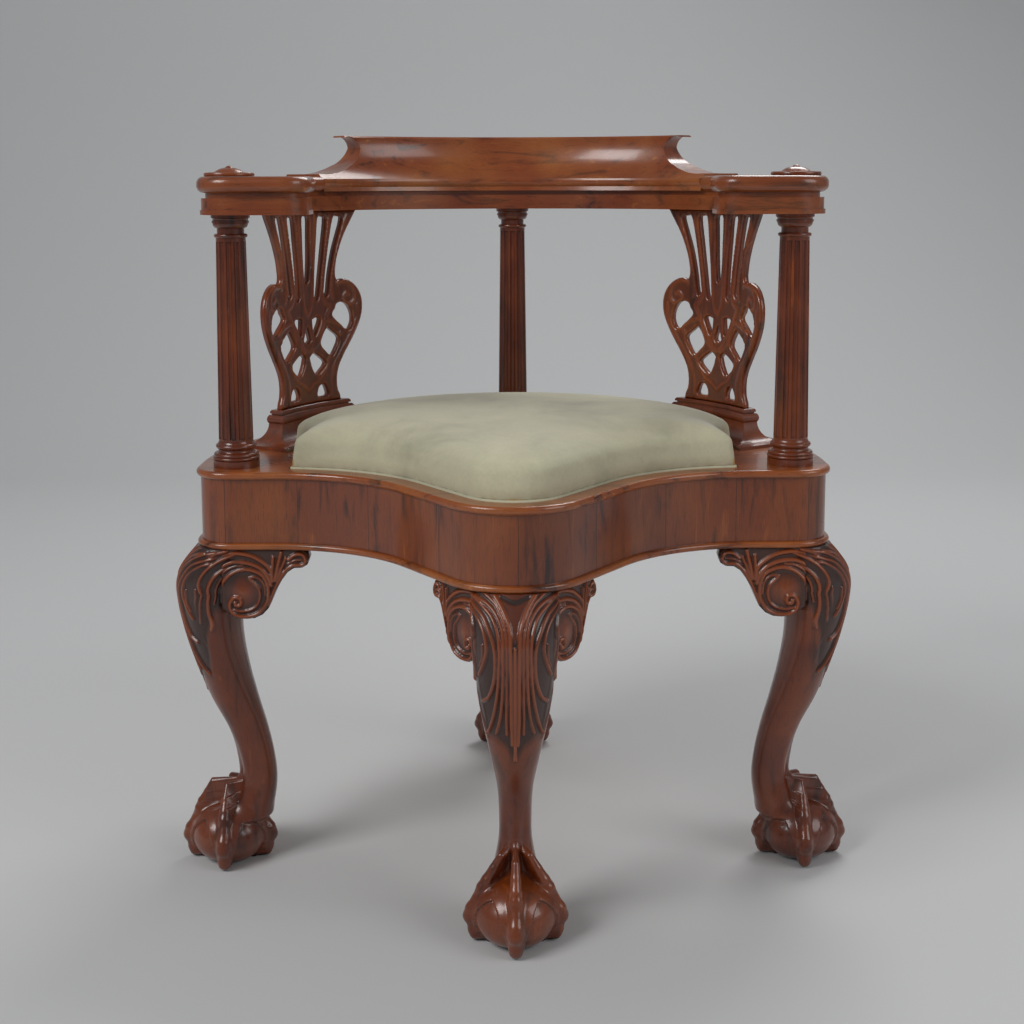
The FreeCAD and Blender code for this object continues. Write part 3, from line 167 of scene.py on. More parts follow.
def shaded(colour, share):
    """Colour made darker or lighter by a share, with its alpha kept."""
    return tuple(min(1.0, channel * share) for channel in colour[:3]) + (1.0,)


def polished_wood(name, along="Z", dark=None, mid=None, light=None, carved=False, joints=0.0, curl=1.0,
                  polished=True):
    """Walnut, french polished: dark streaks along the grain, short pores and a thin gloss over a warm body.

    along is the axis of the grain, carved reads the painted shading of a carved piece, a painted highlight on
    its high spots and painted shade with old wax in its hollows, joints is the width of the leaves of a
    cross-grain facing, curl makes the figure stronger and polished adds the gloss.
    """
    palette = colours()
    dark = dark or tuple(palette.wood_dark)
    mid = mid or tuple(palette.wood_mid)
    light = light or tuple(palette.wood_light)
    patina_and_shade = tuple(palette.patina_and_shade)
    material, tree, shader = new_material(name)
    place = add_node(tree, "ShaderNodeTexCoord", output="Object")
    # Growth rings show as bands about 12 mm wide, drawn out eight times along the grain.
    stretch = {"X": (8, 1, 1), "Y": (1, 8, 1), "Z": (1, 1, 8), "NONE": (1, 1, 1)}[along]
    rings = add_node(tree, "ShaderNodeMapping", {"Vector": place, "Scale": tuple(80.0 / s for s in stretch)})
    figure = add_node(tree, "ShaderNodeTexNoise", {"Vector": rings, "Scale": 1.0, "Detail": 5.0,
                                                   "Roughness": 0.58, "Distortion": 0.6 * curl})
    # Vessel lines about 0.6 mm wide, 15 mm long.
    lines = add_node(tree, "ShaderNodeMapping",
                     {"Vector": place, "Scale": tuple(1500.0 / (1 if s == 1 else 22) for s in stretch)})
    pores = add_node(tree, "ShaderNodeTexNoise", {"Vector": lines, "Scale": 1.0, "Detail": 2.0,
                                                  "Roughness": 0.5})
    # Cloudy fading of the old polish, about 90 mm across.
    cloud = add_node(tree, "ShaderNodeTexNoise", {"Vector": place, "Scale": 11.0, "Detail": 3.0,
                                                  "Roughness": 0.5})
    # Range nodes take a value, its low and high end, and what they give there.
    faded = add_node(tree, "ShaderNodeMapRange", [cloud, 0.42, 0.72, 0.0, 0.38])
    porous = add_node(tree, "ShaderNodeMapRange", [pores, 0.56, 0.72, 0.0, 0.55])
    uneven = add_node(tree, "ShaderNodeMapRange", [cloud, 0.3, 0.7, 0.25, 0.38])
    # Colour layers from the body up: each is the share of a tone that covers what lies under it.
    layers = [(faded, light), (porous, dark)]
    if joints:
        across = add_node(tree, "ShaderNodeSeparateXYZ", [place], output="X")
        moved = add_node(tree, "ShaderNodeMath", [across, JOINT_START], operation="ADD")
        leaves = add_node(tree, "ShaderNodeMath", [moved, joints], operation="DIVIDE")
        leaf = add_node(tree, "ShaderNodeMath", [leaves], operation="FLOOR")
        part = add_node(tree, "ShaderNodeMath", [leaves], operation="FRACT")
        tone = add_node(tree, "ShaderNodeTexWhiteNoise", {"W": leaf}, output="Value", noise_dimensions="1D")
        line = add_node(tree, "ShaderNodeMath", [part, JOINT_LINE / joints], operation="LESS_THAN")
        layers.append((add_node(tree, "ShaderNodeMath", [tone, 0.35], operation="MULTIPLY"), dark))
        layers.append((add_node(tree, "ShaderNodeMath", [line, 0.7], operation="MULTIPLY"), patina_and_shade))
    if carved:
        height = add_node(tree, "ShaderNodeAttribute", output="Fac", attribute_name="painted_shading")
        # Painted highlight: the highest parts of the carving are made lighter.
        layers.append((add_node(tree, "ShaderNodeMapRange", [height, 0.6, 1.0, 0.0, 0.45]), light))
        # Painted shade with old wax: the low parts of the carving are darkened with the patina colour.
        layers.append((add_node(tree, "ShaderNodeMapRange", [height, 0.0, 0.55, 0.92, 0.0]), patina_and_shade))
        uneven = add_node(tree, "ShaderNodeMapRange", [height, 0.0, 0.6, 0.52, 0.30])
    body = add_node(tree, "ShaderNodeValToRGB", {"Fac": figure},
                    stops=[(0.30, dark), (0.47, mid), (0.62, mid), (0.80, light)])
    for share, tone in layers:
        body = add_node(tree, "ShaderNodeMix", {0: share, 6: body, 7: tone}, output=2, data_type="RGBA")
    bump = add_node(tree, "ShaderNodeBump", {"Height": pores, "Strength": 0.10, "Distance": 0.3 * MM})
    set_inputs(tree, shader, {"Base Color": body, "Specular IOR Level": 0.5, "Coat Roughness": 0.14,
                              "Coat Weight": 0.55 if polished else 0.0,
                              "Roughness": uneven if polished else 0.8, "Normal": bump})
    return material


def suede_cloth():
    """Brushed cotton with a suede hand: a short matt nap and faint marks where it was rubbed."""
    material, tree, shader = new_material("suede_cloth")
    place = add_node(tree, "ShaderNodeTexCoord", output="Object")
    tone = tuple(colours().cover)
    shade, pale = shaded(tone, 0.72), shaded(tone, 1.18)
    rubbed = add_node(tree, "ShaderNodeTexNoise", {"Vector": place, "Scale": 9.0, "Detail": 6.0,
                                                   "Roughness": 0.62, "Distortion": 0.4})
    nap = add_node(tree, "ShaderNodeTexNoise", {"Vector": place, "Scale": 260.0, "Detail": 4.0,
                                                "Roughness": 0.7})
    body = add_node(tree, "ShaderNodeValToRGB", {"Fac": rubbed},
                    stops=[(0.28, shade), (0.48, tone), (0.72, pale)])
    # Painted shade: the low parts of the nap's bump are darkened.
    hollows = add_node(tree, "ShaderNodeMapRange", [nap, 0.35, 0.65, 0.18, 0.0])
    body = add_node(tree, "ShaderNodeMix", {0: hollows, 6: body, 7: shade}, output=2, data_type="RGBA")
    bump = add_node(tree, "ShaderNodeBump", {"Height": nap, "Strength": 0.35, "Distance": 0.5 * MM})
    set_inputs(tree, shader, {"Base Color": body, "Roughness": 0.92, "Specular IOR Level": 0.2,
                              "Sheen Weight": 0.35, "Sheen Roughness": 0.45, "Normal": bump})
    return material


def plain_wood(name, tone):
    """Bare secondary wood under the seat: sawn, dry and without gloss."""
    base = hex_linear(tone)
    return polished_wood(name, along="X", dark=shaded(base, 0.55), mid=base, light=shaded(base, 1.3),
                         polished=False)


def dull_steel(name, tone, rough):
    """Small iron fastenings: dark, slightly pitted metal."""
    material, tree, shader = new_material(name)
    place = add_node(tree, "ShaderNodeTexCoord", output="Object")
    pits = add_node(tree, "ShaderNodeTexNoise", {"Vector": place, "Scale": 900.0, "Detail": 3.0})
    base = hex_linear(tone)
    body = add_node(tree, "ShaderNodeValToRGB", {"Fac": pits},
                    stops=[(0.35, shaded(base, 0.6)), (0.65, base)])
    set_inputs(tree, shader, {"Base Color": body, "Metallic": 1.0, "Roughness": rough})
    return material


def woven_jute(name, tone, thread):
    """Plain weave of coarse jute yarn, thread is the yarn spacing."""
    material, tree, shader = new_material(name)
    place = add_node(tree, "ShaderNodeTexCoord", output="Object")
    waves = []
    for axis in ("X", "Y"):
        run = add_node(tree, "ShaderNodeSeparateXYZ", [place], output=axis)
        turn = add_node(tree, "ShaderNodeMath", [run, 2 * math.pi / thread], operation="MULTIPLY")
        waves.append(add_node(tree, "ShaderNodeMath", [turn], operation="SINE"))
    weave = add_node(tree, "ShaderNodeMath", waves, operation="MULTIPLY")
    share = add_node(tree, "ShaderNodeMath", [weave, 0.5, 0.5], operation="MULTIPLY_ADD")
    base = hex_linear(tone)
    body = add_node(tree, "ShaderNodeValToRGB", {"Fac": share},
                    stops=[(0.1, shaded(base, 0.45)), (0.7, base)])
    bump = add_node(tree, "ShaderNodeBump", {"Height": weave, "Strength": 0.5, "Distance": 0.4 * MM})
    set_inputs(tree, shader, {"Base Color": body, "Roughness": 0.95, "Normal": bump})
    return material


def finish_node(name, material):
    """Gives a carried-over node its material."""
    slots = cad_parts[name].data.materials
    slots.clear()
    slots.append(material)


# Carving: strokes of the gouge laid on a surface as rounded ridges.
class Stroke:
    """One carved ridge along a line of points, in millimetres, with its half width and height."""

    def __init__(self, points, width, height=1.0):
        self.points = smooth_line(points)
        self.width = width
        self.height = height


def smooth_line(points, steps=6):
    """Points of a smooth line through the given ones."""
    points = np.array(points, float)
    if len(points) < 3:
        return points
    ends = np.vstack([2 * points[0] - points[1], points, 2 * points[-1] - points[-2]])
    line = []
    for a, b, c, d in zip(ends, ends[1:], ends[2:], ends[3:]):
        for t in np.arange(steps) / steps:
            line.append(0.5 * (2 * b + (c - a) * t + (2 * a - 5 * b + 4 * c - d) * t ** 2
                               + (3 * b - a - 3 * c + d) * t ** 3))
    return np.array(line + [points[-1]])


def ridge_field(places, strokes):
    """Height of the highest ridge at each place, 0 to 1 of the carving depth."""
    field = np.zeros(len(places))
    for stroke in strokes:
        low = stroke.points.min(axis=0) - stroke.width
        high = stroke.points.max(axis=0) + stroke.width
        near = np.nonzero(((places >= low) & (places <= high)).all(axis=1))[0]
        if not len(near):
            continue
        here = places[near]
        best = np.zeros(len(near))
        for start, end in zip(stroke.points, stroke.points[1:]):
            along = end - start
            share = np.clip(((here - start) @ along) / max(along @ along, 1e-9), 0, 1)
            away = np.linalg.norm(here - start - share[:, None] * along, axis=1)
            best = np.maximum(best, np.sqrt(np.clip(1 - (away / stroke.width) ** 2, 0, 1)))
        field[near] = np.maximum(field[near], best * stroke.height)
    return field


# Knee carving seen from the outward line of the leg: distance round the leg and height.
KNEE_REEDS = [
    ([(21.6, 367), (12.4, 354), (6.4, 341), (4.6, 329), (4.2, 316), (4.0, 290), (3.8, 262), (3.6, 236),
      (2.4, 214)], 2.1, 1.0),
    ([(31.6, 366), (20.3, 358), (12.6, 346), (8.9, 333), (8.0, 318), (8.0, 298), (8.2, 270), (8.6, 245),
      (8.0, 226)], 1.9, 0.85),
    ([(43.5, 361), (28.5, 357), (19, 349), (13.4, 337), (11.8, 324), (11.8, 306), (12.2, 282), (13.2, 260),
      (15.5, 241), (19.5, 226)], 2.0, 0.95),
    ([(56, 362), (44, 359.5), (31.6, 353), (23, 345.6), (17.9, 334), (15.8, 321), (15.6, 305), (16.6, 284),
      (19.0, 262), (23.0, 243), (28, 229), (33, 222)], 2.0, 1.0),
    ([(66, 357), (51.2, 354), (35.0, 346.5), (26.6, 332.6), (21.4, 319), (19.9, 302), (21.5, 283),
      (27.5, 266), (36, 259)], 2.3, 0.95),
    ([(60, 350), (50, 348), (38, 339), (31.5, 326), (30.5, 312.5), (34.5, 299), (41, 287)], 2.2, 0.9),
    ([(0, 318), (0.2, 290), (0.2, 250), (0, 220), (0, 196)], 1.9, 1.0),
    ([(36, 318), (36, 306), (40, 296)], 1.6, 0.7),
]
# Carving of the leg's side and of the ear: distance along the rail from the leg axis and height.
SIDE_REEDS = [
    ([(-15.5, 306.4), (-17.5, 317), (-13.5, 326.5), (-5.5, 336), (3.5, 341.5), (13.5, 343.5), (23.5, 341.4),
      (32.3, 336), (37.0, 326), (37.8, 316), (35.2, 305.7), (27.5, 295.4), (14.5, 290.9), (4.3, 291.6),
      (-2.5, 296.5), (-4.6, 305), (-0.5, 311.5), (5.2, 312.6), (8.4, 308.3), (6.3, 303.6), (2.4, 303.4),
      (1.4, 306.6)], 2.3, 1.0),
    ([(17.5, 334.2), (21.3, 329.7), (25.0, 325.8), (28.1, 321), (28.5, 312.4), (25.1, 303.4), (17.3, 298.1),
      (7.0, 297), (0.6, 298.4)], 1.7, 0.8),
    ([(17.5, 334.2), (24.6, 334.6), (30.4, 330.4), (33.6, 324), (34.2, 315)], 1.5, 0.75),
    ([(-26, 276), (-26.5, 284), (-31, 296), (-33.5, 309), (-33, 322), (-26.3, 335.6), (-14.5, 345.2),
      (-1, 351.4), (14.8, 350.6), (28.7, 345.3), (37.4, 336.4), (41.2, 326)], 2.5, 0.95),
    ([(-26, 304), (-25.5, 317), (-20.5, 329), (-11.5, 339.5), (-1, 345.8), (10, 347.6)], 1.5, 0.7),
    ([(-41.8, 318), (-43.2, 330), (-35.5, 345), (-25, 353.9), (-11, 359.5), (4, 361.2), (21.3, 357.8),
      (35.2, 349.2), (41, 341.3), (42.6, 331)], 2.4, 1.0),
    ([(-58, 309), (-55, 332), (-47.5, 349.6), (-34.5, 359.8), (-21.5, 363.7)], 2.3, 0.9),
    ([(-39.3, 283), (-41, 296), (-42, 309), (-41.5, 318)], 1.8, 0.8),
    ([(-48.5, 320), (-48.6, 306), (-47.2, 293), (-44.2, 279), (-39, 267), (-34, 257.5)], 2.2, 0.95),
    ([(38.6, 303), (44.8, 321), (50.8, 332.7), (56.8, 341.9), (64.5, 347.6), (74.7, 348.2), (79.0, 353.4),
      (75.0, 359.8), (66.7, 359.2), (60.5, 354.3)], 2.1, 1.0),
    ([(59.4, 349.5), (67.2, 353.2), (74.5, 353.6)], 1.5, 0.7),
    ([(42.4, 330), (42.4, 342), (43.6, 357)], 2.0, 0.95),
    ([(45.4, 331), (48.0, 345), (52.4, 362)], 2.2, 1.0),
    ([(47.4, 332), (52.6, 345), (57.4, 356)], 1.9, 0.85),
]
# Outline of an ear: distance from the leg axis along the rail, and height.
EAR_OUTLINE = [(-13, 365), (30, 365), (60, 365), (76, 364.6), (81, 361), (82.6, 355), (80.5, 348.4),
               (75, 345), (66, 344.6), (59, 340), (52, 330.5), (46, 319.5), (41.5, 309), (37.5, 300),
               (31, 293), (22, 288.8),
               (13, 288), (4.5, 288.8), (-2, 292), (-8, 296), (-13, 300)]

# Raised disc in the middle of the ear's scroll.
EAR_DISC, EAR_DISC_RADIUS = (10.0, 318.0), 19.0
# Turns of the ears with the bow and with the front rails, in degrees, and the leg's half width there.
BACK_EAR_TURN, FRONT_EAR_TURN, LEG_FACE = 7.0, 46.0, 38 * MM
# Distances from the leg at an ear's start, middle and tip, and those of the shorter front ears.
EAR_RUN, FRONT_EAR_RUN = (-13.0, 38.0, 83.0), (51.5, 95.0, 118.0)

# Leg sections: height, shift outward, half depth, half width and fullness of the corner.
LEG_FORM = np.array([
    (0, 18, 26, 26, 2.0), (30, 16, 27, 26, 2.0), (44, 0, 27, 26, 2.1), (66, -9, 24, 22.5, 2.3),
    (92, -16, 20.3, 17.5, 2.4), (124, -13.2, 20.2, 16.8, 2.3), (150, -6.5, 21.5, 18, 2.2),
    (190, 9, 26, 24.5, 2.0), (223, 19, 28, 31, 1.9), (268, 29, 31.5, 38.0, 1.85),
    (300, 31.8, 35.2, 41.0, 1.85), (322, 31.2, 36.8, 42, 1.9),
    (340, 26, 35.5, 42.5, 2.0), (354, 17.5, 34.5, 42.5, 2.2), (366, 9, 34, 42, 2.5)])
FOOT_OUT = 18.0
FOOT_TOP, KNEE_FROM, KNEE_TO = 104.0, 190.0, 366.0
# Points round the leg, depth of the ground between the leaves and painted shading of a plain surface.
LEG_POINTS, GROUND_DEPTH, LEVEL = 256, 1.3, 0.55
# The foot is found from this far out, in this many steps.
SPOKE_START, SPOKE_STEPS = 62.0, 46
# One toe from its tendon on the leg to its tip: distance from the foot's middle, height and half thickness.
TOE_LINE = [(15, 88, 4.5), (21.5, 75, 5.4), (28, 63, 6.8), (32, 55, 7.6), (37.5, 44, 6.6), (43.0, 33, 8.0),
            (44.8, 26, 8.4), (42.2, 18, 6.8), (41.2, 12, 7.2), (39.8, 8.2, 7.4)]
BALL_LIFT, BALL_TALL, BALL_WIDE = 29.0, 33.0, 42.0


def leg_form(heights):
    """Shift, half depth, half width and fullness of the leg at each height."""
    z = LEG_FORM[:, 0]
    slopes = np.gradient(LEG_FORM[:, 1:], z, axis=0)
    place = np.clip(np.searchsorted(z, heights) - 1, 0, len(z) - 2)
    step = (z[place + 1] - z[place])[:, None]
    t = np.clip((heights - z[place])[:, None] / step, 0, 1)
    low, high = LEG_FORM[place, 1:], LEG_FORM[place + 1, 1:]
    return ((2 * t ** 3 - 3 * t ** 2 + 1) * low + (t ** 3 - 2 * t ** 2 + t) * step * slopes[place]
            + (3 * t ** 2 - 2 * t ** 3) * high + (t ** 3 - t ** 2) * step * slopes[place + 1])


def soft_min(a, b, blend):
    """Smooth union of two distance fields."""
    h = np.clip(0.5 + 0.5 * (b - a) / blend, 0, 1)
    return b + (a - b) * h - blend * h * (1 - h)


def round_cone(x, y, z, start, end):
    """Distance to a tapered rod between two balls."""
    p = np.stack([x, y, z], axis=-1)
    a, b = np.array(start[:3]), np.array(end[:3])
    along = b - a
    share = np.clip(((p - a) @ along) / (along @ along), 0, 1)
    away = np.linalg.norm(p - a - share[..., None] * along, axis=-1)
    return away - (start[3] + share * (end[3] - start[3]))


def foot_field(x, y, z):
    """Distance to the foot's surface: ball, four toes and the skirt over them. y runs outward."""
    out = y - FOOT_OUT
    reach = np.hypot(x, out)
    ball = (np.sqrt((reach / BALL_WIDE) ** 2 + ((z - BALL_LIFT) / BALL_TALL) ** 2) - 1) * BALL_TALL
    toes = np.full_like(ball, 1e3)
    for side_x, side_y in ((0, 1), (1, 0), (0, -1), (-1, 0)):
        line = [(d * side_x, FOOT_OUT + d * side_y, h, r) for d, h, r in TOE_LINE]
        for start, end in zip(line, line[1:]):
            toes = soft_min(toes, round_cone(x, y, z, start, end), 1.5)
    # The skirt is a thin skin over the ball that ends in an arched lip over each lobe.
    angle = np.arctan2(np.abs(x), out)
    lobe = np.abs((angle % (math.pi / 2)) - math.pi / 4)
    arch = 52.0 * np.sqrt(np.clip(1 - (lobe / 0.58) ** 2, 0, 1))
    wide, tall = BALL_WIDE + 2.2, BALL_TALL + 4.0
    skin = (np.sqrt((reach / wide) ** 2 + ((z - BALL_LIFT) / tall) ** 2) - 1) * BALL_TALL
    skirt = np.maximum(skin, (arch - z) * 0.8)
    return np.minimum(soft_min(toes, skirt, 3.0), ball), ball - np.minimum(toes, skirt)


def leg_rings(heights):
    """Points evenly spread round each section of the leg, their distance round it and their normals."""
    form = leg_form(heights)
    shift, deep, wide, full = (form[:, i][:, None] for i in range(4))
    angles = np.linspace(0, 2 * math.pi, LEG_POINTS, endpoint=False)
    sine, cosine = np.sin(angles)[None, :], np.cos(angles)[None, :]
    x = wide * np.sign(sine) * np.abs(sine) ** (2 / full)
    y = deep * np.sign(cosine) * np.abs(cosine) ** (2 / full)
    ring = np.stack([np.hstack([x, x[:, :1]]), np.hstack([y, y[:, :1]])], axis=-1)
    lengths = np.hstack([np.zeros((len(heights), 1)),
                         np.cumsum(np.linalg.norm(np.diff(ring, axis=1), axis=2), axis=1)])
    even = np.empty((len(heights), LEG_POINTS, 2))
    around = np.empty((len(heights), LEG_POINTS))
    for row in range(len(heights)):
        total = lengths[row, -1]
        stations = np.arange(LEG_POINTS) / LEG_POINTS * total
        for axis in range(2):
            even[row, :, axis] = np.interp(stations, lengths[row], ring[row, :, axis])
        around[row] = np.where(stations > total / 2, total - stations, stations)
    step = np.roll(even, -1, axis=1) - np.roll(even, 1, axis=1)
    normal = np.stack([-step[:, :, 1], step[:, :, 0]], axis=-1)
    normal /= np.linalg.norm(normal, axis=2, keepdims=True)
    normal *= np.where((normal * even).sum(axis=2, keepdims=True) < 0, -1, 1)
    return even[:, :, 0], even[:, :, 1] + shift, around, normal


def knee_carving(around, z):
    """Height of the knee's carving over the plain leg, and its painted shading for the finish: painted
    highlight on the leaves and painted shade in the ground cut between them.
    """
    # Distance round the leg at which its side faces along the rail.
    side_run = np.interp(z, (190, 223, 268, 314, 350, 366), (66, 70, 84, 99.7, 92.7, 87))
    knee = np.stack([around, z], axis=-1).reshape(-1, 2)
    beside = np.stack([around - side_run, z], axis=-1).reshape(-1, 2)
    front_share = np.clip((64 - around) / 8.0, 0, 1)
    side_share = np.clip((around - 46) / 8.0, 0, 1)
    ridges = np.maximum(
        ridge_field(knee, [Stroke(*reed) for reed in KNEE_REEDS]).reshape(z.shape) * front_share,
        ridge_field(beside, [Stroke(*reed) for reed in SIDE_REEDS]).reshape(z.shape) * side_share)
    # The ground is cut into the leg down to the lower edge of the leaves, and less in the plain field above.
    lowest = np.interp(around, (0, 8, 20, 34, 44, 52, 70, 200), (190, 205, 214, 216, 236, 262, 292, 300))
    field = np.clip((z - lowest) / 10.0, 0, 1) * np.clip((367.0 - z) / 1.5, 0, 1)
    field *= np.clip((118 - around) / 6.0, 0, 1)
    plain_field = np.clip((330 + 1.75 * around - 8 - z) / -3.0, 0, 1) * (around < 24)
    ground = field * (1 - 0.7 * plain_field)
    lift = np.where(ground + ridges > 0, ridges * sizes().carving_depth / MM - ground * GROUND_DEPTH, 0)
    # Painted shading: the leaves are lighter as painted highlight, the cut ground darker as painted shade.
    painted_shading = np.where(field > 0.02, np.clip(LEVEL - 0.5 * ground + ridges * 0.95, 0, 1), LEVEL)
    # A crescent is cut under the bead above the plain field and darkened there as painted shade.
    crescent = ridge_field(knee, [Stroke([(-13, 362.5), (0, 358), (13, 362.5)], 2.4)]).reshape(z.shape)
    return lift - 1.5 * crescent, painted_shading - 0.5 * crescent


def claw_foot(x, y, z):
    """Foot and ankle, found by going inward along spokes: places and painted shading, with painted shade in
    the grooves round the toes and painted shadow where the foot meets the floor.
    """
    heights = z[:, 0]
    shift = leg_form(heights)[:, :1]
    middle = np.interp(heights, (0, 30, 52, 70, 92, 104), (18, 18, 10, -4, -14, -15.5))[:, None]
    spokes = np.arctan2(x, y - shift)
    ux, uy = np.sin(spokes), np.cos(spokes)
    reach = np.full(z.shape, SPOKE_START)
    for _ in range(SPOKE_STEPS):
        px, py = ux * reach, middle + uy * reach
        gap, groove = foot_field(px, py, z)
        near = soft_min(gap, leg_gap(px, py, z, heights), 9.0)
        reach = np.maximum(reach - near * 0.75, 2.0)
    # Painted shade in the grooves where the toes meet the ball and skirt, and painted shadow on the lowest
    # 2.5 mm of the foot where it stands on the floor.
    painted_shading = np.where(np.abs(groove) < 1.1, 0.12, LEVEL)
    return ux * reach, middle + uy * reach, np.where(z < 2.5, 0.05, painted_shading)


def build_leg():
    """Carved leg with its outward side along -Y and its axis at the origin: points, faces and painted
    shading.
    """
    heights = np.concatenate([np.arange(0.0, FOOT_TOP, 1.15), np.arange(FOOT_TOP, KNEE_FROM, 3.0),
                              np.arange(KNEE_FROM, KNEE_TO - 1.0, 1.05), [KNEE_TO - 1.0]])
    x, y, around, normal = leg_rings(heights)
    z = np.repeat(heights[:, None], LEG_POINTS, axis=1)
    lift, painted_shading = knee_carving(around, z)
    x, y = x + normal[:, :, 0] * lift, y + normal[:, :, 1] * lift
    foot = heights < FOOT_TOP
    x[foot], y[foot], painted_shading[foot] = claw_foot(x[foot], y[foot], z[foot])
    # The tendon of the outward toe runs up the leg and dies out.
    tendon = np.clip((150 - z) / 45.0, 0, 1) * np.clip((z - 56) / 12.0, 0, 1)
    ridge = np.exp(-(around / 4.6) ** 2) * 2.2 - np.exp(-((around - 9.5) / 4.5) ** 2) * 1.6
    x, y = x + normal[:, :, 0] * ridge * tendon, y + normal[:, :, 1] * ridge * tendon
    points = np.stack([x, -y, z], axis=-1).reshape(-1, 3)
    return points, tube_faces(len(heights), LEG_POINTS), painted_shading.reshape(-1)


def tube_faces(rows, count):
    """Faces of a tube with both its ends, from rows of points that go round it."""
    faces = []
    for row in range(rows - 1):
        for i in range(count):
            j = (i + 1) % count
            faces.append((row * count + i, row * count + j, (row + 1) * count + j, (row + 1) * count + i))
    faces.append(tuple(range(count - 1, -1, -1)))
    faces.append(tuple((rows - 1) * count + i for i in range(count)))
    return faces


def leg_gap(x, y, z, heights):
    """Rough distance to the leg above the foot."""
    form = leg_form(heights)
    shift, deep, wide, full = (form[:, i][:, None] for i in range(4))
    share = ((np.abs(x) / wide) ** full + (np.abs(y - shift) / deep) ** full) ** (1 / full)
    return (share - 1) * np.minimum(deep, wide) + np.clip(52.0 - z, 0, 60) * 1.5


def mesh_object(name, points, faces, material, painted_shading=None, smooth=True):
    """Object from points in metres, with its painted shading kept as an attribute."""
    mesh = bpy.data.meshes.new(name)
    mesh.from_pydata([tuple(p) for p in np.asarray(points, float)], [],
                     [tuple(int(i) for i in f) for f in faces])
    if smooth:
        mesh.polygons.foreach_set("use_smooth", [True] * len(mesh.polygons))
    if painted_shading is not None:
        layer = mesh.attributes.new("painted_shading", "FLOAT", "POINT")
        layer.data.foreach_set("value", np.clip(painted_shading, 0, 1).astype(np.float32))
    mesh.materials.append(material)
    mesh.update()
    thing = bpy.data.objects.new(name, mesh)
    bpy.context.scene.collection.objects.link(thing)
    return thing


def plate_mesh(outline, holes, spacing, height, thick):
    """Flat plate with relief: points (a, b, depth), faces and painted shading. Lengths in millimetres."""
    loops = [np.array(outline, float)] + [np.array(hole, float) for hole in holes]
    inside = grid_inside(loops, spacing)
    border = np.vstack(loops)
    edges, start = [], 0
    for loop in loops:
        edges += [(start + i, start + (i + 1) % len(loop)) for i in range(len(loop))]
        start += len(loop)
    places = [Vector(p) for p in np.vstack([border, inside])]
    verts, _, tris, _, _, _ = delaunay_2d_cdt(places, edges, [], 0, 1e-5)
    flat = np.array([tuple(v) for v in verts])
    middles = np.array([flat[list(t)].mean(axis=0) for t in tris])
    keep = in_loops(middles, loops)
    tris = [t for t, k in zip(tris, keep) if k]
    lift, painted_shading = height(flat)
    front = np.column_stack([flat, lift])
    back = np.column_stack([flat, np.full(len(flat), -thick)])
    count = len(flat)
    signed = [(flat[t[1]] - flat[t[0]])[0] * (flat[t[2]] - flat[t[0]])[1]
              - (flat[t[1]] - flat[t[0]])[1] * (flat[t[2]] - flat[t[0]])[0] for t in tris]
    tris = [t if s > 0 else t[::-1] for t, s in zip(tris, signed)]
    used = {}
    for t in tris:
        for a, b in ((t[0], t[1]), (t[1], t[2]), (t[2], t[0])):
            used[(a, b)] = used.get((a, b), 0) + 1
    rim = [(a, b) for a, b in used if (b, a) not in used]
    faces = [tuple(t) for t in tris] + [tuple(i + count for i in t[::-1]) for t in tris]
    faces += [(b, a, a + count, b + count) for a, b in rim]
    return np.vstack([front, back]), faces, np.concatenate([painted_shading, np.full(count, 0.5)])


def in_loops(places, loops):
    """Whether each place lies inside the outline and outside its holes."""
    inside = np.zeros(len(places), bool)
    for loop in loops:
        for (x0, y0), (x1, y1) in zip(loop, np.roll(loop, -1, axis=0)):
            if y0 == y1:
                continue
            crosses = (places[:, 1] > min(y0, y1)) & (places[:, 1] <= max(y0, y1))
            meet = x0 + (places[:, 1] - y0) / (y1 - y0) * (x1 - x0)
            inside ^= crosses & (places[:, 0] < meet)
    return inside


def edge_gap(places, loops):
    """Distance of each place from the nearest outline."""
    gap = np.full(len(places), 1e9)
    for loop in loops:
        for a, b in zip(loop, np.roll(loop, -1, axis=0)):
            along = b - a
            share = np.clip(((places - a) @ along) / max(along @ along, 1e-9), 0, 1)
            gap = np.minimum(gap, np.linalg.norm(places - a - share[:, None] * along, axis=1))
    return gap


def grid_inside(loops, spacing):
    """Even grid of places inside an outline, clear of its edge."""
    low, high = loops[0].min(axis=0), loops[0].max(axis=0)
    rows = []
    for row, b in enumerate(np.arange(low[1], high[1], spacing * 0.87)):
        a = np.arange(low[0] + (row % 2) * spacing / 2, high[0], spacing)
        rows.append(np.column_stack([a, np.full(len(a), b)]))
    grid = np.vstack(rows)
    grid = grid[in_loops(grid, loops)]
    return grid[edge_gap(grid, loops) > spacing * 0.55]


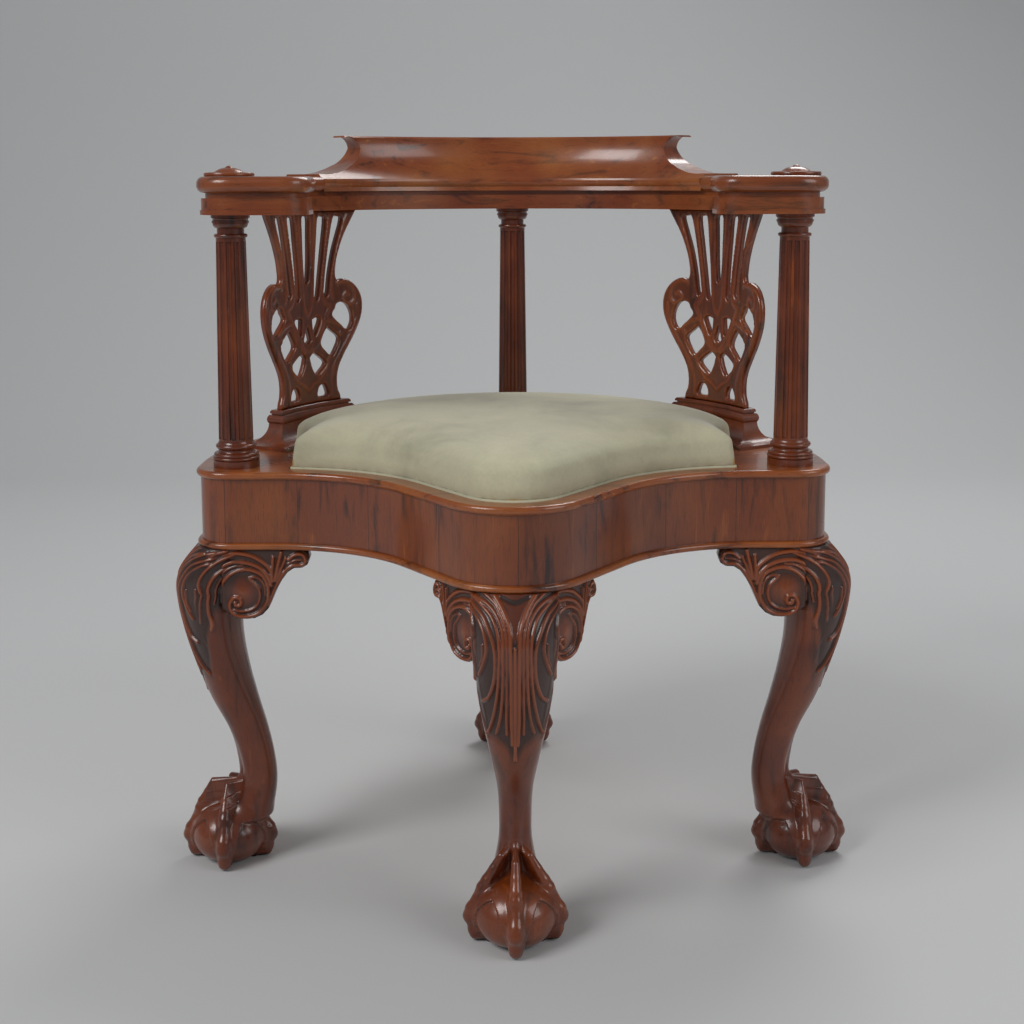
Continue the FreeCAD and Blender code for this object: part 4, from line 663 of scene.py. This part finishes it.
class ChairLegs(bpy.types.Operator):
    """Carve the four cabriole legs with their ball-and-claw feet and the eight ears"""

    bl_idname = "chair.legs"
    bl_label = "Carved legs and ears"

    def execute(self, context):
        wood = polished_wood("carved_walnut", along="Z", carved=True)
        points, faces, painted_shading = build_leg()
        places = {"front_leg": (0.0, -BACK_Y, 0.0), "right_leg": (HALF_SPAN, SIDE_Y, 90.0),
                  "back_leg": (0.0, BACK_Y, 180.0), "left_leg": (-HALF_SPAN, SIDE_Y, -90.0)}
        for name, (x, y, turn) in places.items():
            spin = np.array(Matrix.Rotation(math.radians(turn), 3, "Z"))
            placed = points * MM @ spin.T + np.array([x, y, 0.0])
            leg = mesh_object(name + "_carved", placed, faces, wood, painted_shading)
            stump = self.stump(name, wood)
            with bpy.context.temp_override(active_object=leg, selected_editable_objects=[leg, stump]):
                bpy.ops.object.join()
            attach(leg, CHAIR)
            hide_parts(name)
        self.ears(wood)
        return {"FINISHED"}

    def stump(self, name, wood):
        """Square top of the leg between the rails, inside the rail frame."""
        inset = 12 * MM
        low, high = (Vector(c) for c in NODE_TOPS[name])
        x0, x1, y0, y1 = low.x + inset, high.x - inset, low.y + inset, high.y - inset
        z0, z1 = APRON_BOTTOM - MM, high.z
        points = [(x, y, z) for z in (z0, z1) for x, y in ((x0, y0), (x1, y0), (x1, y1), (x0, y1))]
        faces = [(3, 2, 1, 0), (4, 5, 6, 7), (0, 1, 5, 4), (1, 2, 6, 5), (2, 3, 7, 6), (3, 0, 4, 7)]
        return mesh_object(name + "_stump", points, faces, wood, np.full(8, 0.5), smooth=False)

    def ears(self, wood):
        strokes = [Stroke(*reed) for reed in SIDE_REEDS]
        outline = even_loop(EAR_OUTLINE, 1.2)
        depth = sizes().carving_depth / MM

        def height(places):
            ridges = ridge_field(places, strokes)
            disc = np.clip(1 - np.linalg.norm(places - EAR_DISC, axis=1) / EAR_DISC_RADIUS, 0, 1)
            edge = np.clip(edge_gap(places, [outline]) / 1.6, 0, 1)
            lift = (0.4 + ridges * depth + disc * 2.4) * (0.25 + 0.75 * edge) - 1.2
            # Painted shading: the strokes and the disc are lighter as painted highlight, the ground of the
            # ear darker as painted shade.
            return lift, np.clip(0.10 + ridges * 0.95 + disc * 0.9, 0, 1)

        points, faces, painted_shading = plate_mesh(outline, [], 1.25, height, 21.0)
        for name, (origin, along, outward, fold) in ear_places().items():
            t, z, d = points[:, 0], points[:, 1], points[:, 2]
            run = np.interp(t, EAR_RUN, fold) * MM
            placed = (np.array(origin)[None, :] + run[:, None] * np.array(along)
                      + (d * MM)[:, None] * np.array(outward))
            placed[:, 2] = z * MM - 0.2 * MM
            turned = np.cross(along, (0, 0, 1)) @ np.array(outward)
            ready = faces if turned > 0 else [f[::-1] for f in faces]
            ear = mesh_object(name + "_carved", placed, ready, wood, painted_shading)
            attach(ear, CHAIR)
            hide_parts(name)


def even_loop(points, spacing):
    """Closed outline with points at even steps."""
    points = np.array(points, float)
    out = []
    for a, b in zip(points, np.roll(points, -1, axis=0)):
        count = max(1, int(round(np.linalg.norm(b - a) / spacing)))
        out += [a + (b - a) * i / count for i in range(count)]
    return np.array(out)


def ear_places():
    """Origin, direction away from the leg, outward direction and run of each ear."""
    places = {}
    for hand, side in ((-1, "left"), (1, "right")):
        sine, cosine = math.sin(math.radians(BACK_EAR_TURN)), math.cos(math.radians(BACK_EAR_TURN))
        places[side + "_leg_front_ear"] = ((hand * HALF_SPAN, SIDE_Y - LEG_FACE - 1.5 * MM, 0.0),
                                           (-hand, 0.0, 0.0), (0.0, -1.0, 0.0), EAR_RUN)
        places[side + "_leg_back_ear"] = ((hand * (HALF_SPAN + LEG_FACE), SIDE_Y, 0.0),
                                          (-hand * sine, cosine, 0.0), (hand * cosine, sine, 0.0), EAR_RUN)
        places["back_leg_" + side + "_ear"] = ((0.0, BACK_Y + LEG_FACE, 0.0),
                                               (hand * cosine, -sine, 0.0), (hand * sine, cosine, 0.0),
                                               EAR_RUN)
        sine, cosine = math.sin(math.radians(FRONT_EAR_TURN)), math.cos(math.radians(FRONT_EAR_TURN))
        places["front_leg_" + side + "_ear"] = ((0.0, -BACK_Y - LEG_FACE - 24 * MM, 0.0),
                                                (hand * cosine, sine, 0.0), (hand * sine, -cosine, 0.0),
                                                FRONT_EAR_RUN)
    return places


# Bend of the splats, how far their faces stand inside it, and their place round the bow in degrees.
SPLAT_BEND, SPLAT_FACE, SPLAT_TURN = 300 * MM, 4.5 * MM, 33.0
# Height of the flat splat and what of it stands in the shoe.
SPLAT_TALL, SPLAT_FOOT = 240 * MM, 2 * MM
# Splat as laid flat: outline of its right half and its piercings, across and above the shoe.
SPLAT_SIDE = [(56, -2), (55, 4), (51.5, 12), (50.5, 22), (52, 34), (57, 46), (66, 60), (77, 76), (86, 92),
              (91, 106), (92, 120), (89, 132), (82, 142), (73, 148.5), (63, 151.5), (54, 150), (50.5, 156),
              (51, 166), (54, 180), (60, 196), (68, 212), (78, 228), (84, 238)]
SPLAT_CENTRE_HOLES = [
    [(-6, 77), (0, 73), (6, 77), (3.5, 86), (0, 94), (-3.5, 86)],
    [(-3.2, 152), (0, 148), (3.2, 152), (5.2, 175), (6.0, 205), (6.2, 229), (0, 231), (-6.2, 229),
     (-6.0, 205), (-5.2, 175)],
]
SPLAT_HOLES_RIGHT = [
    [(13.5, 132), (17, 126), (20.5, 131), (25, 158), (30, 190), (35.5, 227), (30, 230), (22.5, 229),
     (19, 200), (15.5, 165)],
    [(30.5, 136), (34, 130), (37.5, 135), (41.5, 160), (49, 190), (61.5, 226), (56, 230), (48.5, 229),
     (41, 200), (34.5, 165)],
    [(49, 114), (52, 120), (60, 122), (69, 118), (75, 108), (76, 97), (71, 87), (64, 88), (56, 95), (46, 104),
     (45, 109)],
    [(36, 92), (44, 86), (54.5, 76.5), (50, 64), (42, 54.5), (33, 61), (24.5, 71), (29, 83)],
    [(9.5, 103), (16, 105), (23.5, 103), (19, 92), (13, 82.5), (10.5, 92)],
    [(4, 55), (9, 60), (14, 60), (24, 54), (31.5, 46.5), (24, 38), (15, 33), (8, 43)],
    [(17.5, 5), (33.5, 5), (33.5, 12), (30, 18.5), (25, 20), (20, 17), (17, 10)],
]
# Volutes and straps raised over the splat's face, right half.
SPLAT_STRAPS = [
    ([(52, 146), (62, 147.5), (72, 144), (79, 136), (80, 126), (74, 119), (66, 120), (62, 127), (66, 133),
      (71, 131)], 2.4, 1.0),
    ([(42, 232), (35, 200), (28, 165), (26, 138), (30, 124), (40, 118)], 2.6, 0.7),
    ([(16, 232), (13, 200), (10.5, 165), (9, 135), (6, 118), (0, 108)], 2.6, 0.7),
    ([(70, 232), (57, 200), (46, 168), (42, 145), (44, 128)], 2.6, 0.7),
    ([(84, 118), (83, 100), (74, 82), (60, 62), (46, 42), (40, 24), (40, 4)], 2.8, 0.8),
    ([(60, 90), (44, 98), (28, 98), (8, 68), (-8, 62)], 2.6, 0.8),
    ([(40, 118), (32, 104), (20, 76), (10, 66), (2, 66)], 2.6, 0.8),
    ([(58, 84), (44, 68), (36, 50), (24, 30), (10, 22), (0, 14)], 2.6, 0.8),
]


def reflected(points):
    return [(-a, b) for a, b in reversed(points)]


def splat_flat():
    """Flat splat: points, faces and painted shading, in millimetres above the shoe."""
    outline = even_loop(smooth_line(SPLAT_SIDE).tolist() + smooth_line(reflected(SPLAT_SIDE)).tolist(), 2.0)
    closed = [smooth_line(hole + hole[:1])[:-1] for hole in SPLAT_HOLES_RIGHT]
    holes = [smooth_line(hole + hole[:1])[:-1] for hole in SPLAT_CENTRE_HOLES]
    holes += closed + [hole[::-1] * np.array([-1, 1]) for hole in closed]
    holes = [even_loop(hole, 1.8) for hole in holes]
    loops = [outline] + holes
    strokes = [Stroke(*strap) for strap in SPLAT_STRAPS]
    strokes += [Stroke([(-a, b) for a, b in line], *rest) for line, *rest in SPLAT_STRAPS]

    def height(places):
        gap = np.clip(edge_gap(places, loops) / 3.2, 0, 1)
        straps = ridge_field(places, strokes)
        lift = 1.7 * np.sqrt(1 - (1 - gap) ** 2) - 2.0 + 1.3 * straps - 0.5 * (gap > 0.99)
        # Painted shading: the rounded edges of the piercings and the raised straps are lighter as painted
        # highlight, the flat field between them darker as painted shade.
        return lift, np.clip(0.30 + 0.25 * (gap < 0.9) + 0.40 * straps, 0, 1)

    return plate_mesh(outline, holes, 2.1, height, 8.0)


class ChairSplats(bpy.types.Operator):
    """Cut and carve the two pierced splats, bent to the round of the bow"""

    bl_idname = "chair.splats"
    bl_label = "Pierced splats"

    def execute(self, context):
        wood = polished_wood("pierced_splat_walnut", along="Z", carved=True, mid=hex_linear("7a3412"),
                             light=hex_linear("b0622a"))
        points, faces, painted_shading = splat_flat()
        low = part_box("left_splat")[0].z + 6 * MM
        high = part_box("left_splat")[1].z - 6 * MM
        across, up, lift = (points * MM).T
        for hand, side in ((-1, "left"), (1, "right")):
            angle = math.radians(SPLAT_TURN) + hand * across / SPLAT_BEND
            radius = SPLAT_BEND - SPLAT_FACE - lift
            tall = low + (up + SPLAT_FOOT) / SPLAT_TALL * (high - low)
            placed = np.column_stack([hand * radius * np.cos(angle), BOW_Y + radius * np.sin(angle), tall])
            splat = mesh_object(side + "_splat_carved", placed, faces, wood, painted_shading)
            outward_faces(splat)
            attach(splat, CHAIR)
            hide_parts(side + "_splat")
        return {"FINISHED"}


def outward_faces(thing):
    """Turns a closed mesh's faces outwards."""
    work = bmesh.new()
    work.from_mesh(thing.data)
    bmesh.ops.recalc_face_normals(work, faces=work.faces)
    work.to_mesh(thing.data)
    work.free()


# Drop-in seat: outline of the opening and the crown of the cushion.
LOBE_Y, LOBE_RADIUS, HOLLOW_PLACE, HOLLOW_RADIUS = -218.5, 58.0, (260.1, -293.5), 198.0
OPENING_RADIUS, CUSP, SWEEP = 266.0, (240.0, -20.5), 55.0
# Height of the pad's flat underside, its gap to the opening in millimetres and the most that the cover
# swells.
PAD_LOW, PAD_INSET, MOST_SWELL = 462.0 * MM, 1.2, 3.0 * MM
# Share of the pad's height and share of its outline at each step of the crown.
CROWN = [(0.0, 0.990), (0.15, 0.990), (0.34, 0.994), (0.50, 0.987), (0.64, 0.955), (0.76, 0.90), (0.86, 0.81),
         (0.93, 0.69), (0.97, 0.53), (0.99, 0.32), (1.0, 0.10)]


def opening_outline(inset, spacing=4.0):
    """Outline of the seat opening made smaller by the inset, in millimetres, points at even steps."""
    def arc(centre, radius, start, end):
        turns = np.radians(np.linspace(start, end, 24))
        return [(centre[0] + radius * math.cos(a), centre[1] + radius * math.sin(a)) for a in turns]

    hollow = HOLLOW_RADIUS + inset
    stop = math.degrees(math.acos((246.0 - inset - HOLLOW_PLACE[0]) / hollow))
    bow_y = BOW_Y / MM
    radius = OPENING_RADIUS - inset
    start = math.degrees(math.asin((SIDE_Y / MM + 93.0 - bow_y) / radius))
    half = arc((0, LOBE_Y), LOBE_RADIUS - inset, -90, -90 + SWEEP)
    half += arc(HOLLOW_PLACE, hollow, 90 + SWEEP, stop) + [(CUSP[0] - inset, CUSP[1])]
    half += arc((0, bow_y), radius, start, 90)
    whole = half + [(-x, y) for x, y in half[::-1]]
    clean = [p for p, q in zip(whole, whole[1:] + whole[:1]) if math.dist(p, q) > 0.05]
    return even_loop(clean, spacing)


# Spacing and thickness of the webbing straps, in millimetres.
STRAP_STEP, STRAP_THICK = 78.0, 0.7
# Number and head width of the tacks.
TACK_COUNT, TACK_HEAD = 64, 6 * MM


class ChairSeat(bpy.types.Operator):
    """Stuff and cover the drop-in seat and fit its webbing, hessian and tacks"""

    bl_idname = "chair.seat"
    bl_label = "Drop-in seat"

    def execute(self, context):
        self.cushion()
        self.underside()
        self.tacks()
        return {"FINISHED"}

    def cushion(self):
        """Crowned cushion blown up a little as cloth, then cover turned down and under the frame."""
        low, crown, rim = PAD_LOW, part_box("seat_cover")[1].z - 2.5 * MM, SEAT_TOP - 1.5 * MM
        outline = opening_outline(PAD_INSET) * MM
        middle = np.array([0.0, CUSP[1] * MM])
        points = []
        rows = [(rim, CROWN[0][1])] + [(low + rise * (crown - low), scale) for rise, scale in CROWN]
        for height, scale in rows:
            ring = middle + (outline - middle) * scale
            points += [(x, y, height) for x, y in ring]
        cloth = suede_cloth()
        pad = mesh_object("seat_cushion", points, tube_faces(len(rows), len(outline)), cloth)
        remesh = pad.modifiers.new("even_mesh", "REMESH")
        remesh.mode, remesh.voxel_size = "VOXEL", 5 * MM
        self.settle(pad)
        self.blow_up(pad)
        self.hollow_under(pad, low)
        smooth = pad.modifiers.new("smooth", "SUBSURF")
        smooth.levels = smooth.render_levels = 1
        self.settle(pad)
        skirt = self.skirt(cloth, rim + 3 * MM)
        with bpy.context.temp_override(active_object=pad, selected_editable_objects=[pad, skirt]):
            bpy.ops.object.join()
        pad.data.polygons.foreach_set("use_smooth", [True] * len(pad.data.polygons))
        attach(pad, SEAT)
        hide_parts("seat_cover", "seat_stuffing")

    def settle(self, thing):
        """Turns the modifiers into plain mesh."""
        depsgraph = bpy.context.evaluated_depsgraph_get()
        mesh = bpy.data.meshes.new_from_object(thing.evaluated_get(depsgraph))
        thing.modifiers.clear()
        thing.data = mesh

    def blow_up(self, pad):
        """Cloth under a light pressure, with no point moving more than 3 mm and none leaving the opening."""
        before = np.empty(len(pad.data.vertices) * 3)
        pad.data.vertices.foreach_get("co", before)
        cloth = pad.modifiers.new("cover", "CLOTH")
        cloth.settings.use_pressure = True
        cloth.settings.uniform_pressure_force = 4.0
        cloth.settings.effector_weights.gravity = 0.0
        for number in range(1, 21):
            bpy.context.scene.frame_set(number)
        self.settle(pad)
        after = np.empty(len(before))
        pad.data.vertices.foreach_get("co", after)
        before, after = before.reshape(-1, 3), after.reshape(-1, 3)
        move = after - before
        length = np.linalg.norm(move, axis=1, keepdims=True)
        move *= np.minimum(1.0, MOST_SWELL / np.maximum(length, 1e-9))
        # Below the rim the cover stands in the rebate, so it only rises there.
        move[:, :2] *= np.clip((before[:, 2:] - PAD_LOW) / (12 * MM), 0, 1)
        move[:, 2:] *= np.clip((before[:, 2:] - PAD_LOW) / (10 * MM), 0, 1)
        pad.data.vertices.foreach_set("co", (before + move).reshape(-1))
        pad.data.update()
        bpy.context.scene.frame_set(1)

    def hollow_under(self, pad, low):
        """Lifts the flat underside off the seat frame, all but the rim that hangs beside it."""
        places = np.empty(len(pad.data.vertices) * 3)
        pad.data.vertices.foreach_get("co", places)
        places = places.reshape(-1, 3)
        under = np.nonzero(places[:, 2] < low - 2 * MM)[0]
        inset = edge_gap(places[under, :2] / MM, [opening_outline(PAD_INSET, 12.0)])
        places[under[inset > 5.0], 2] = low
        pad.data.vertices.foreach_set("co", places.reshape(-1))
        pad.data.update()

    def skirt(self, cloth, top):
        """Edge of the cover, turned down round the frame and under it."""
        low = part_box("seat_cover")[0].z + 0.3 * MM
        # Insets of the cover's outer and inner face and of its turned-under edge, and its thickness.
        outer, inner, turned, thick = 2.2, 3.1, 20.0, 0.9 * MM
        rows = [(outer, top), (outer, low), (turned, low), (turned, low + thick), (inner, low + thick),
                (inner, top)]
        rings = [opening_outline(0.3 + inset) * MM for inset, _ in rows]
        count = len(rings[0])
        points, faces = [], []
        for ring, (_, z) in zip(rings, rows):
            if len(ring) != count:
                steps = np.linspace(0, len(ring), count, endpoint=False)
                ring = np.column_stack([np.interp(steps, range(len(ring) + 1),
                                                  np.append(ring[:, k], ring[0, k]))
                                        for k in range(2)])
            points += [(x, y, z) for x, y in ring]
        for row in range(len(rows)):
            under = (row + 1) % len(rows)
            for i in range(count):
                j = (i + 1) % count
                faces.append((row * count + i, under * count + i, under * count + j, row * count + j))
        skirt = mesh_object("cover_edge", points, faces, cloth)
        outward_faces(skirt)
        return skirt

    def underside(self):
        """Hessian over the frame and interlaced straps of webbing under it."""
        outline = opening_outline(9.0, 6.0)
        low, high = (corner.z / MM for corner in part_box("seat_hessian"))

        def flat(places):
            ripple = 0.12 * np.sin(places[:, 0] / 7.0) * np.sin(places[:, 1] / 9.0)
            return ripple, np.full(len(places), 0.5)

        points, faces, _ = plate_mesh(outline, [], 9.0, flat, 0.5)
        placed = points * MM
        placed[:, 2] = (high - 0.15 + points[:, 2]) * MM
        hessian = mesh_object("hessian_sheet", placed, faces, woven_jute("hessian_cloth", "a8915f", 2.2 * MM))
        outward_faces(hessian)
        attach(hessian, SEAT)
        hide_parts("seat_hessian")
        web = woven_jute("jute_web", "b39a6b", 3.0 * MM)
        width = sizes().webbing_width / MM
        straps = [("x", -170.0 + STRAP_STEP * k) for k in range(5)]
        straps += [("y", -156.0 + STRAP_STEP * k) for k in range(5)]
        for number, (axis, at) in enumerate(straps):
            strap = self.strap(f"webbing_strap_{number}", axis, at, width, outline, web)
            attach(strap, SEAT)
            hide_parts("seat_webbing")

    def strap(self, name, axis, at, width, outline, web):
        """One strap from side to side of the frame, weaving over and under the straps across it."""
        low, high = (corner.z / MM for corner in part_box("seat_webbing"))
        along, across = (0, 1) if axis == "x" else (1, 0)
        ends = []
        for a, b in zip(outline, np.roll(outline, -1, axis=0)):
            for offset in (-width / 2, width / 2):
                if (a[across] - at - offset) * (b[across] - at - offset) < 0:
                    share = (at + offset - a[across]) / (b[across] - a[across])
                    ends.append((offset, a[along] + share * (b[along] - a[along])))
        start = max(end for offset, end in ends if end < 0)
        stop = min(end for offset, end in ends if end > 0)
        stations = np.linspace(start + 1, stop - 1, 90)
        sign = 1 if axis == "x" else -1
        middle = (low + high) / 2
        points = []
        for station in stations:
            wave = sign * STRAP_THICK / 2 * math.sin(station / STRAP_STEP * math.pi)
            for offset, lift in ((-width / 2, 0), (width / 2, 0), (width / 2, STRAP_THICK),
                                 (-width / 2, STRAP_THICK)):
                place = [0.0, 0.0, (middle - STRAP_THICK / 2 + wave + lift) * MM]
                place[along], place[across] = station * MM, (at + offset) * MM
                points.append(place)
        strap = mesh_object(name, points, tube_faces(len(stations), 4), web, smooth=False)
        outward_faces(strap)
        return strap

    def tacks(self):
        """Domed tacks at even steps along the turned-under cover, set by a node tree."""
        outline = opening_outline(14.0, 8.0)
        path = bpy.data.curves.new("tack_path", "CURVE")
        path.dimensions = "3D"
        line = path.splines.new("POLY")
        line.points.add(len(outline) - 1)
        for point, (x, y) in zip(line.points, outline):
            point.co = (x * MM, y * MM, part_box("seat_tacks")[0].z + 0.85 * MM, 1.0)
        line.use_cyclic_u = True
        row = bpy.data.objects.new("tack_row", path)
        bpy.context.scene.collection.objects.link(row)
        iron = dull_steel("blued_tack_iron", "23232a", 0.5)
        tree = bpy.data.node_groups.new("tack_row_tree", "GeometryNodeTree")
        tree.interface.new_socket("Geometry", in_out="INPUT", socket_type="NodeSocketGeometry")
        count = tree.interface.new_socket("Tacks", in_out="INPUT", socket_type="NodeSocketInt")
        head = tree.interface.new_socket("Head width", in_out="INPUT", socket_type="NodeSocketFloat")
        tree.interface.new_socket("Geometry", in_out="OUTPUT", socket_type="NodeSocketGeometry")
        given = tree.nodes.new("NodeGroupInput").outputs
        spaced = add_node(tree, "GeometryNodeResampleCurve",
                          {"Curve": given["Geometry"], "Count": given["Tacks"]}, mode="COUNT")
        dome = add_node(tree, "GeometryNodeMeshUVSphere", {"Segments": 10, "Rings": 6, "Radius": 1.0})
        half = add_node(tree, "ShaderNodeMath", [given["Head width"], 0.5], operation="MULTIPLY")
        flat = add_node(tree, "ShaderNodeCombineXYZ", [half, half, 0.8 * MM])
        placed = add_node(tree, "GeometryNodeInstanceOnPoints",
                          {"Points": spaced, "Instance": dome, "Scale": flat})
        real = add_node(tree, "GeometryNodeRealizeInstances", {"Geometry": placed})
        finish = add_node(tree, "GeometryNodeSetMaterial", {"Geometry": real, "Material": iron})
        set_inputs(tree, tree.nodes.new("NodeGroupOutput"), {"Geometry": finish})
        setter = row.modifiers.new("tacks", "NODES")
        setter.node_group = tree
        setter[count.identifier] = TACK_COUNT
        setter[head.identifier] = TACK_HEAD
        mesh = bpy.data.meshes.new_from_object(row.evaluated_get(bpy.context.evaluated_depsgraph_get()))
        bpy.data.objects.remove(row)
        heads = bpy.data.objects.new("tack_heads", mesh)
        bpy.context.scene.collection.objects.link(heads)
        if not mesh.materials:
            mesh.materials.append(iron)
        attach(heads, SEAT)
        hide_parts("seat_tacks")


class ChairMouldings(bpy.types.Operator):
    """Finish the rails, facings, cappings, beads, columns, arms, shoes and bosses"""

    bl_idname = "chair.mouldings"
    bl_label = "Rails, mouldings and columns"

    def execute(self, context):
        facing = polished_wood("cross_grain_walnut", along="Z", mid=hex_linear("7d3812"),
                               light=hex_linear("b06326"),
                               joints=79 * MM)
        # The cappings and beads get a paler, more orange copy of the walnut.
        edge = polished_wood("pale_walnut_edge", along="X", mid=hex_linear("93491a"),
                             light=hex_linear("c67a38"))
        upright = polished_wood("turned_walnut", along="Z")
        arm = polished_wood("arm_walnut", along="X", mid=hex_linear("7c3714"), light=hex_linear("b26528"))
        rail = plain_wood("rail_beech", "8a6238")
        seat_frame = plain_wood("seat_frame_beech", "b8935e")
        for quarter in QUARTERS:
            finish_node(quarter + "_rail", rail)
            finish_node(quarter + "_facing", facing)
            finish_node(quarter + "_capping", edge)
            finish_node(quarter + "_bead", edge)
            finish_node("seat_frame_" + quarter, seat_frame)
        for name in ("left_column", "right_column", "back_column"):
            finish_node(name, upright)
        for name in ("left_arm", "right_arm", "arm_bow", "left_boss", "right_boss"):
            finish_node(name, arm)
        shoe = polished_wood("shoe_walnut", along="NONE")
        for name in ("left_shoe", "right_shoe"):
            finish_node(name, shoe)
        crest = polished_wood("crest_walnut", along="X", dark=hex_linear("4a1c0a"), mid=hex_linear("8a4016"),
                              light=hex_linear("c27a34"), curl=1.6)
        finish_node("crest_rail", crest)
        finish_node("crest_screws", dull_steel("screw_steel", "6c6864", 0.45))
        return {"FINISHED"}


class ChairStage(bpy.types.Operator):
    """Set the floor, the soft studio light and the camera"""

    bl_idname = "chair.stage"
    bl_label = "Stage, light and camera"

    def execute(self, context):
        scene = context.scene
        scene.view_settings.view_transform = "Standard"
        self.floor()
        self.lights(scene)
        self.camera(scene)
        return {"FINISHED"}

    def floor(self):
        """Floor that sweeps up into the wall, far behind the chair."""
        material, tree, shader = new_material("backdrop_paper")
        set_inputs(tree, shader, {"Base Color": tuple(colours().backdrop), "Roughness": 0.9,
                                  "Specular IOR Level": 0.1})
        reach, turn, wall = 6.0, 1.2, 5.0
        profile = [(-reach, 0.0), (2.2, 0.0)]
        profile += [(2.2 + turn * math.sin(a), turn - turn * math.cos(a)) for a in np.linspace(0,
                                                                                               math.pi / 2,
                                                                                               13)]
        profile += [(2.2 + turn, wall)]
        mesh = bpy.data.meshes.new("backdrop")
        points = [(x, y, z) for y, z in profile for x in (-reach, reach)]
        faces = [(2 * i, 2 * i + 1, 2 * i + 3, 2 * i + 2) for i in range(len(profile) - 1)]
        mesh.from_pydata(points, [], faces)
        for polygon in mesh.polygons:
            polygon.use_smooth = True
        mesh.materials.append(material)
        backdrop = bpy.data.objects.new("backdrop", mesh)
        bpy.context.scene.collection.objects.link(backdrop)

    def lights(self, scene):
        """Large soft lamps left, right and above, and a weak even sky."""
        for name, place, wide, watts in (("key_lamp", (-2.4, -1.9, 2.7), 1.6, 62.0),
                                         ("fill_lamp", (2.6, -1.6, 1.9), 1.8, 26.0),
                                         ("back_lamp", (0.9, 2.0, 2.8), 1.4, 34.0)):
            data = bpy.data.lights.new(name, "AREA")
            data.energy = watts
            data.size = wide
            lamp = bpy.data.objects.new(name, data)
            lamp.location = place
            aim = Vector((0.0, 0.0, 0.45)) - Vector(place)
            lamp.rotation_euler = aim.to_track_quat("-Z", "Y").to_euler()
            scene.collection.objects.link(lamp)
        world = bpy.data.worlds.new("studio_air")
        world.use_nodes = True
        sky = world.node_tree.nodes["Background"]
        sky.inputs["Color"].default_value = hex_linear("e8ecf0")
        sky.inputs["Strength"].default_value = 0.24
        scene.world = world

    def camera(self, scene):
        """Camera at the photograph's place: focal length in pixels of a 1024 frame, pitch down and yaw."""
        focal, frame_width, sensor = 1525.08, 1024.0, 36.0
        pitch, yaw, roll = 0.13097, 0.00791, 0.00215
        data = bpy.data.cameras.new("photo_camera")
        data.sensor_width = sensor
        data.lens = sensor * focal / frame_width
        data.shift_x = -8.603 / frame_width
        data.shift_y = -131.145 / frame_width
        camera = bpy.data.objects.new("photo_camera", data)
        camera.location = (-0.0054, -1.73098, 0.76164)
        turn = (Matrix.Rotation(-yaw, 3, "Z") @ Matrix.Rotation(math.pi / 2 - pitch, 3, "X")
                @ Matrix.Rotation(-roll, 3, "Z"))
        camera.rotation_euler = turn.to_euler()
        scene.collection.objects.link(camera)
        scene.camera = camera


class ChairPanel(bpy.types.Panel):
    """Sidebar panel with the chair's pieces"""

    bl_idname = "VIEW3D_PT_chair"
    bl_label = "Corner chair"
    bl_space_type = "VIEW_3D"
    bl_region_type = "UI"
    bl_category = "Chair"

    def draw(self, context):
        layout = self.layout
        for group in (context.scene.chair_colours, context.scene.chair_sizes):
            for name in group.bl_rna.properties.keys():
                if name not in ("rna_type", "name"):
                    layout.prop(group, name)
        for operator in PIECES:
            layout.operator(operator.bl_idname)


PIECES = (ChairMouldings, ChairLegs, ChairSplats, ChairSeat, ChairStage)
CLASSES = (ChairColours, ChairSizes) + PIECES + (ChairPanel,)


def register():
    for cls in CLASSES:
        bpy.utils.register_class(cls)
    bpy.types.Scene.chair_colours = bpy.props.PointerProperty(type=ChairColours)
    bpy.types.Scene.chair_sizes = bpy.props.PointerProperty(type=ChairSizes)


def unregister():
    del bpy.types.Scene.chair_sizes
    del bpy.types.Scene.chair_colours
    for cls in reversed(CLASSES):
        bpy.utils.unregister_class(cls)


def main():
    register()
    for operator in PIECES:
        group, name = operator.bl_idname.split(".")
        getattr(getattr(bpy.ops, group), name)()


if __name__ == "__main__":
    main()
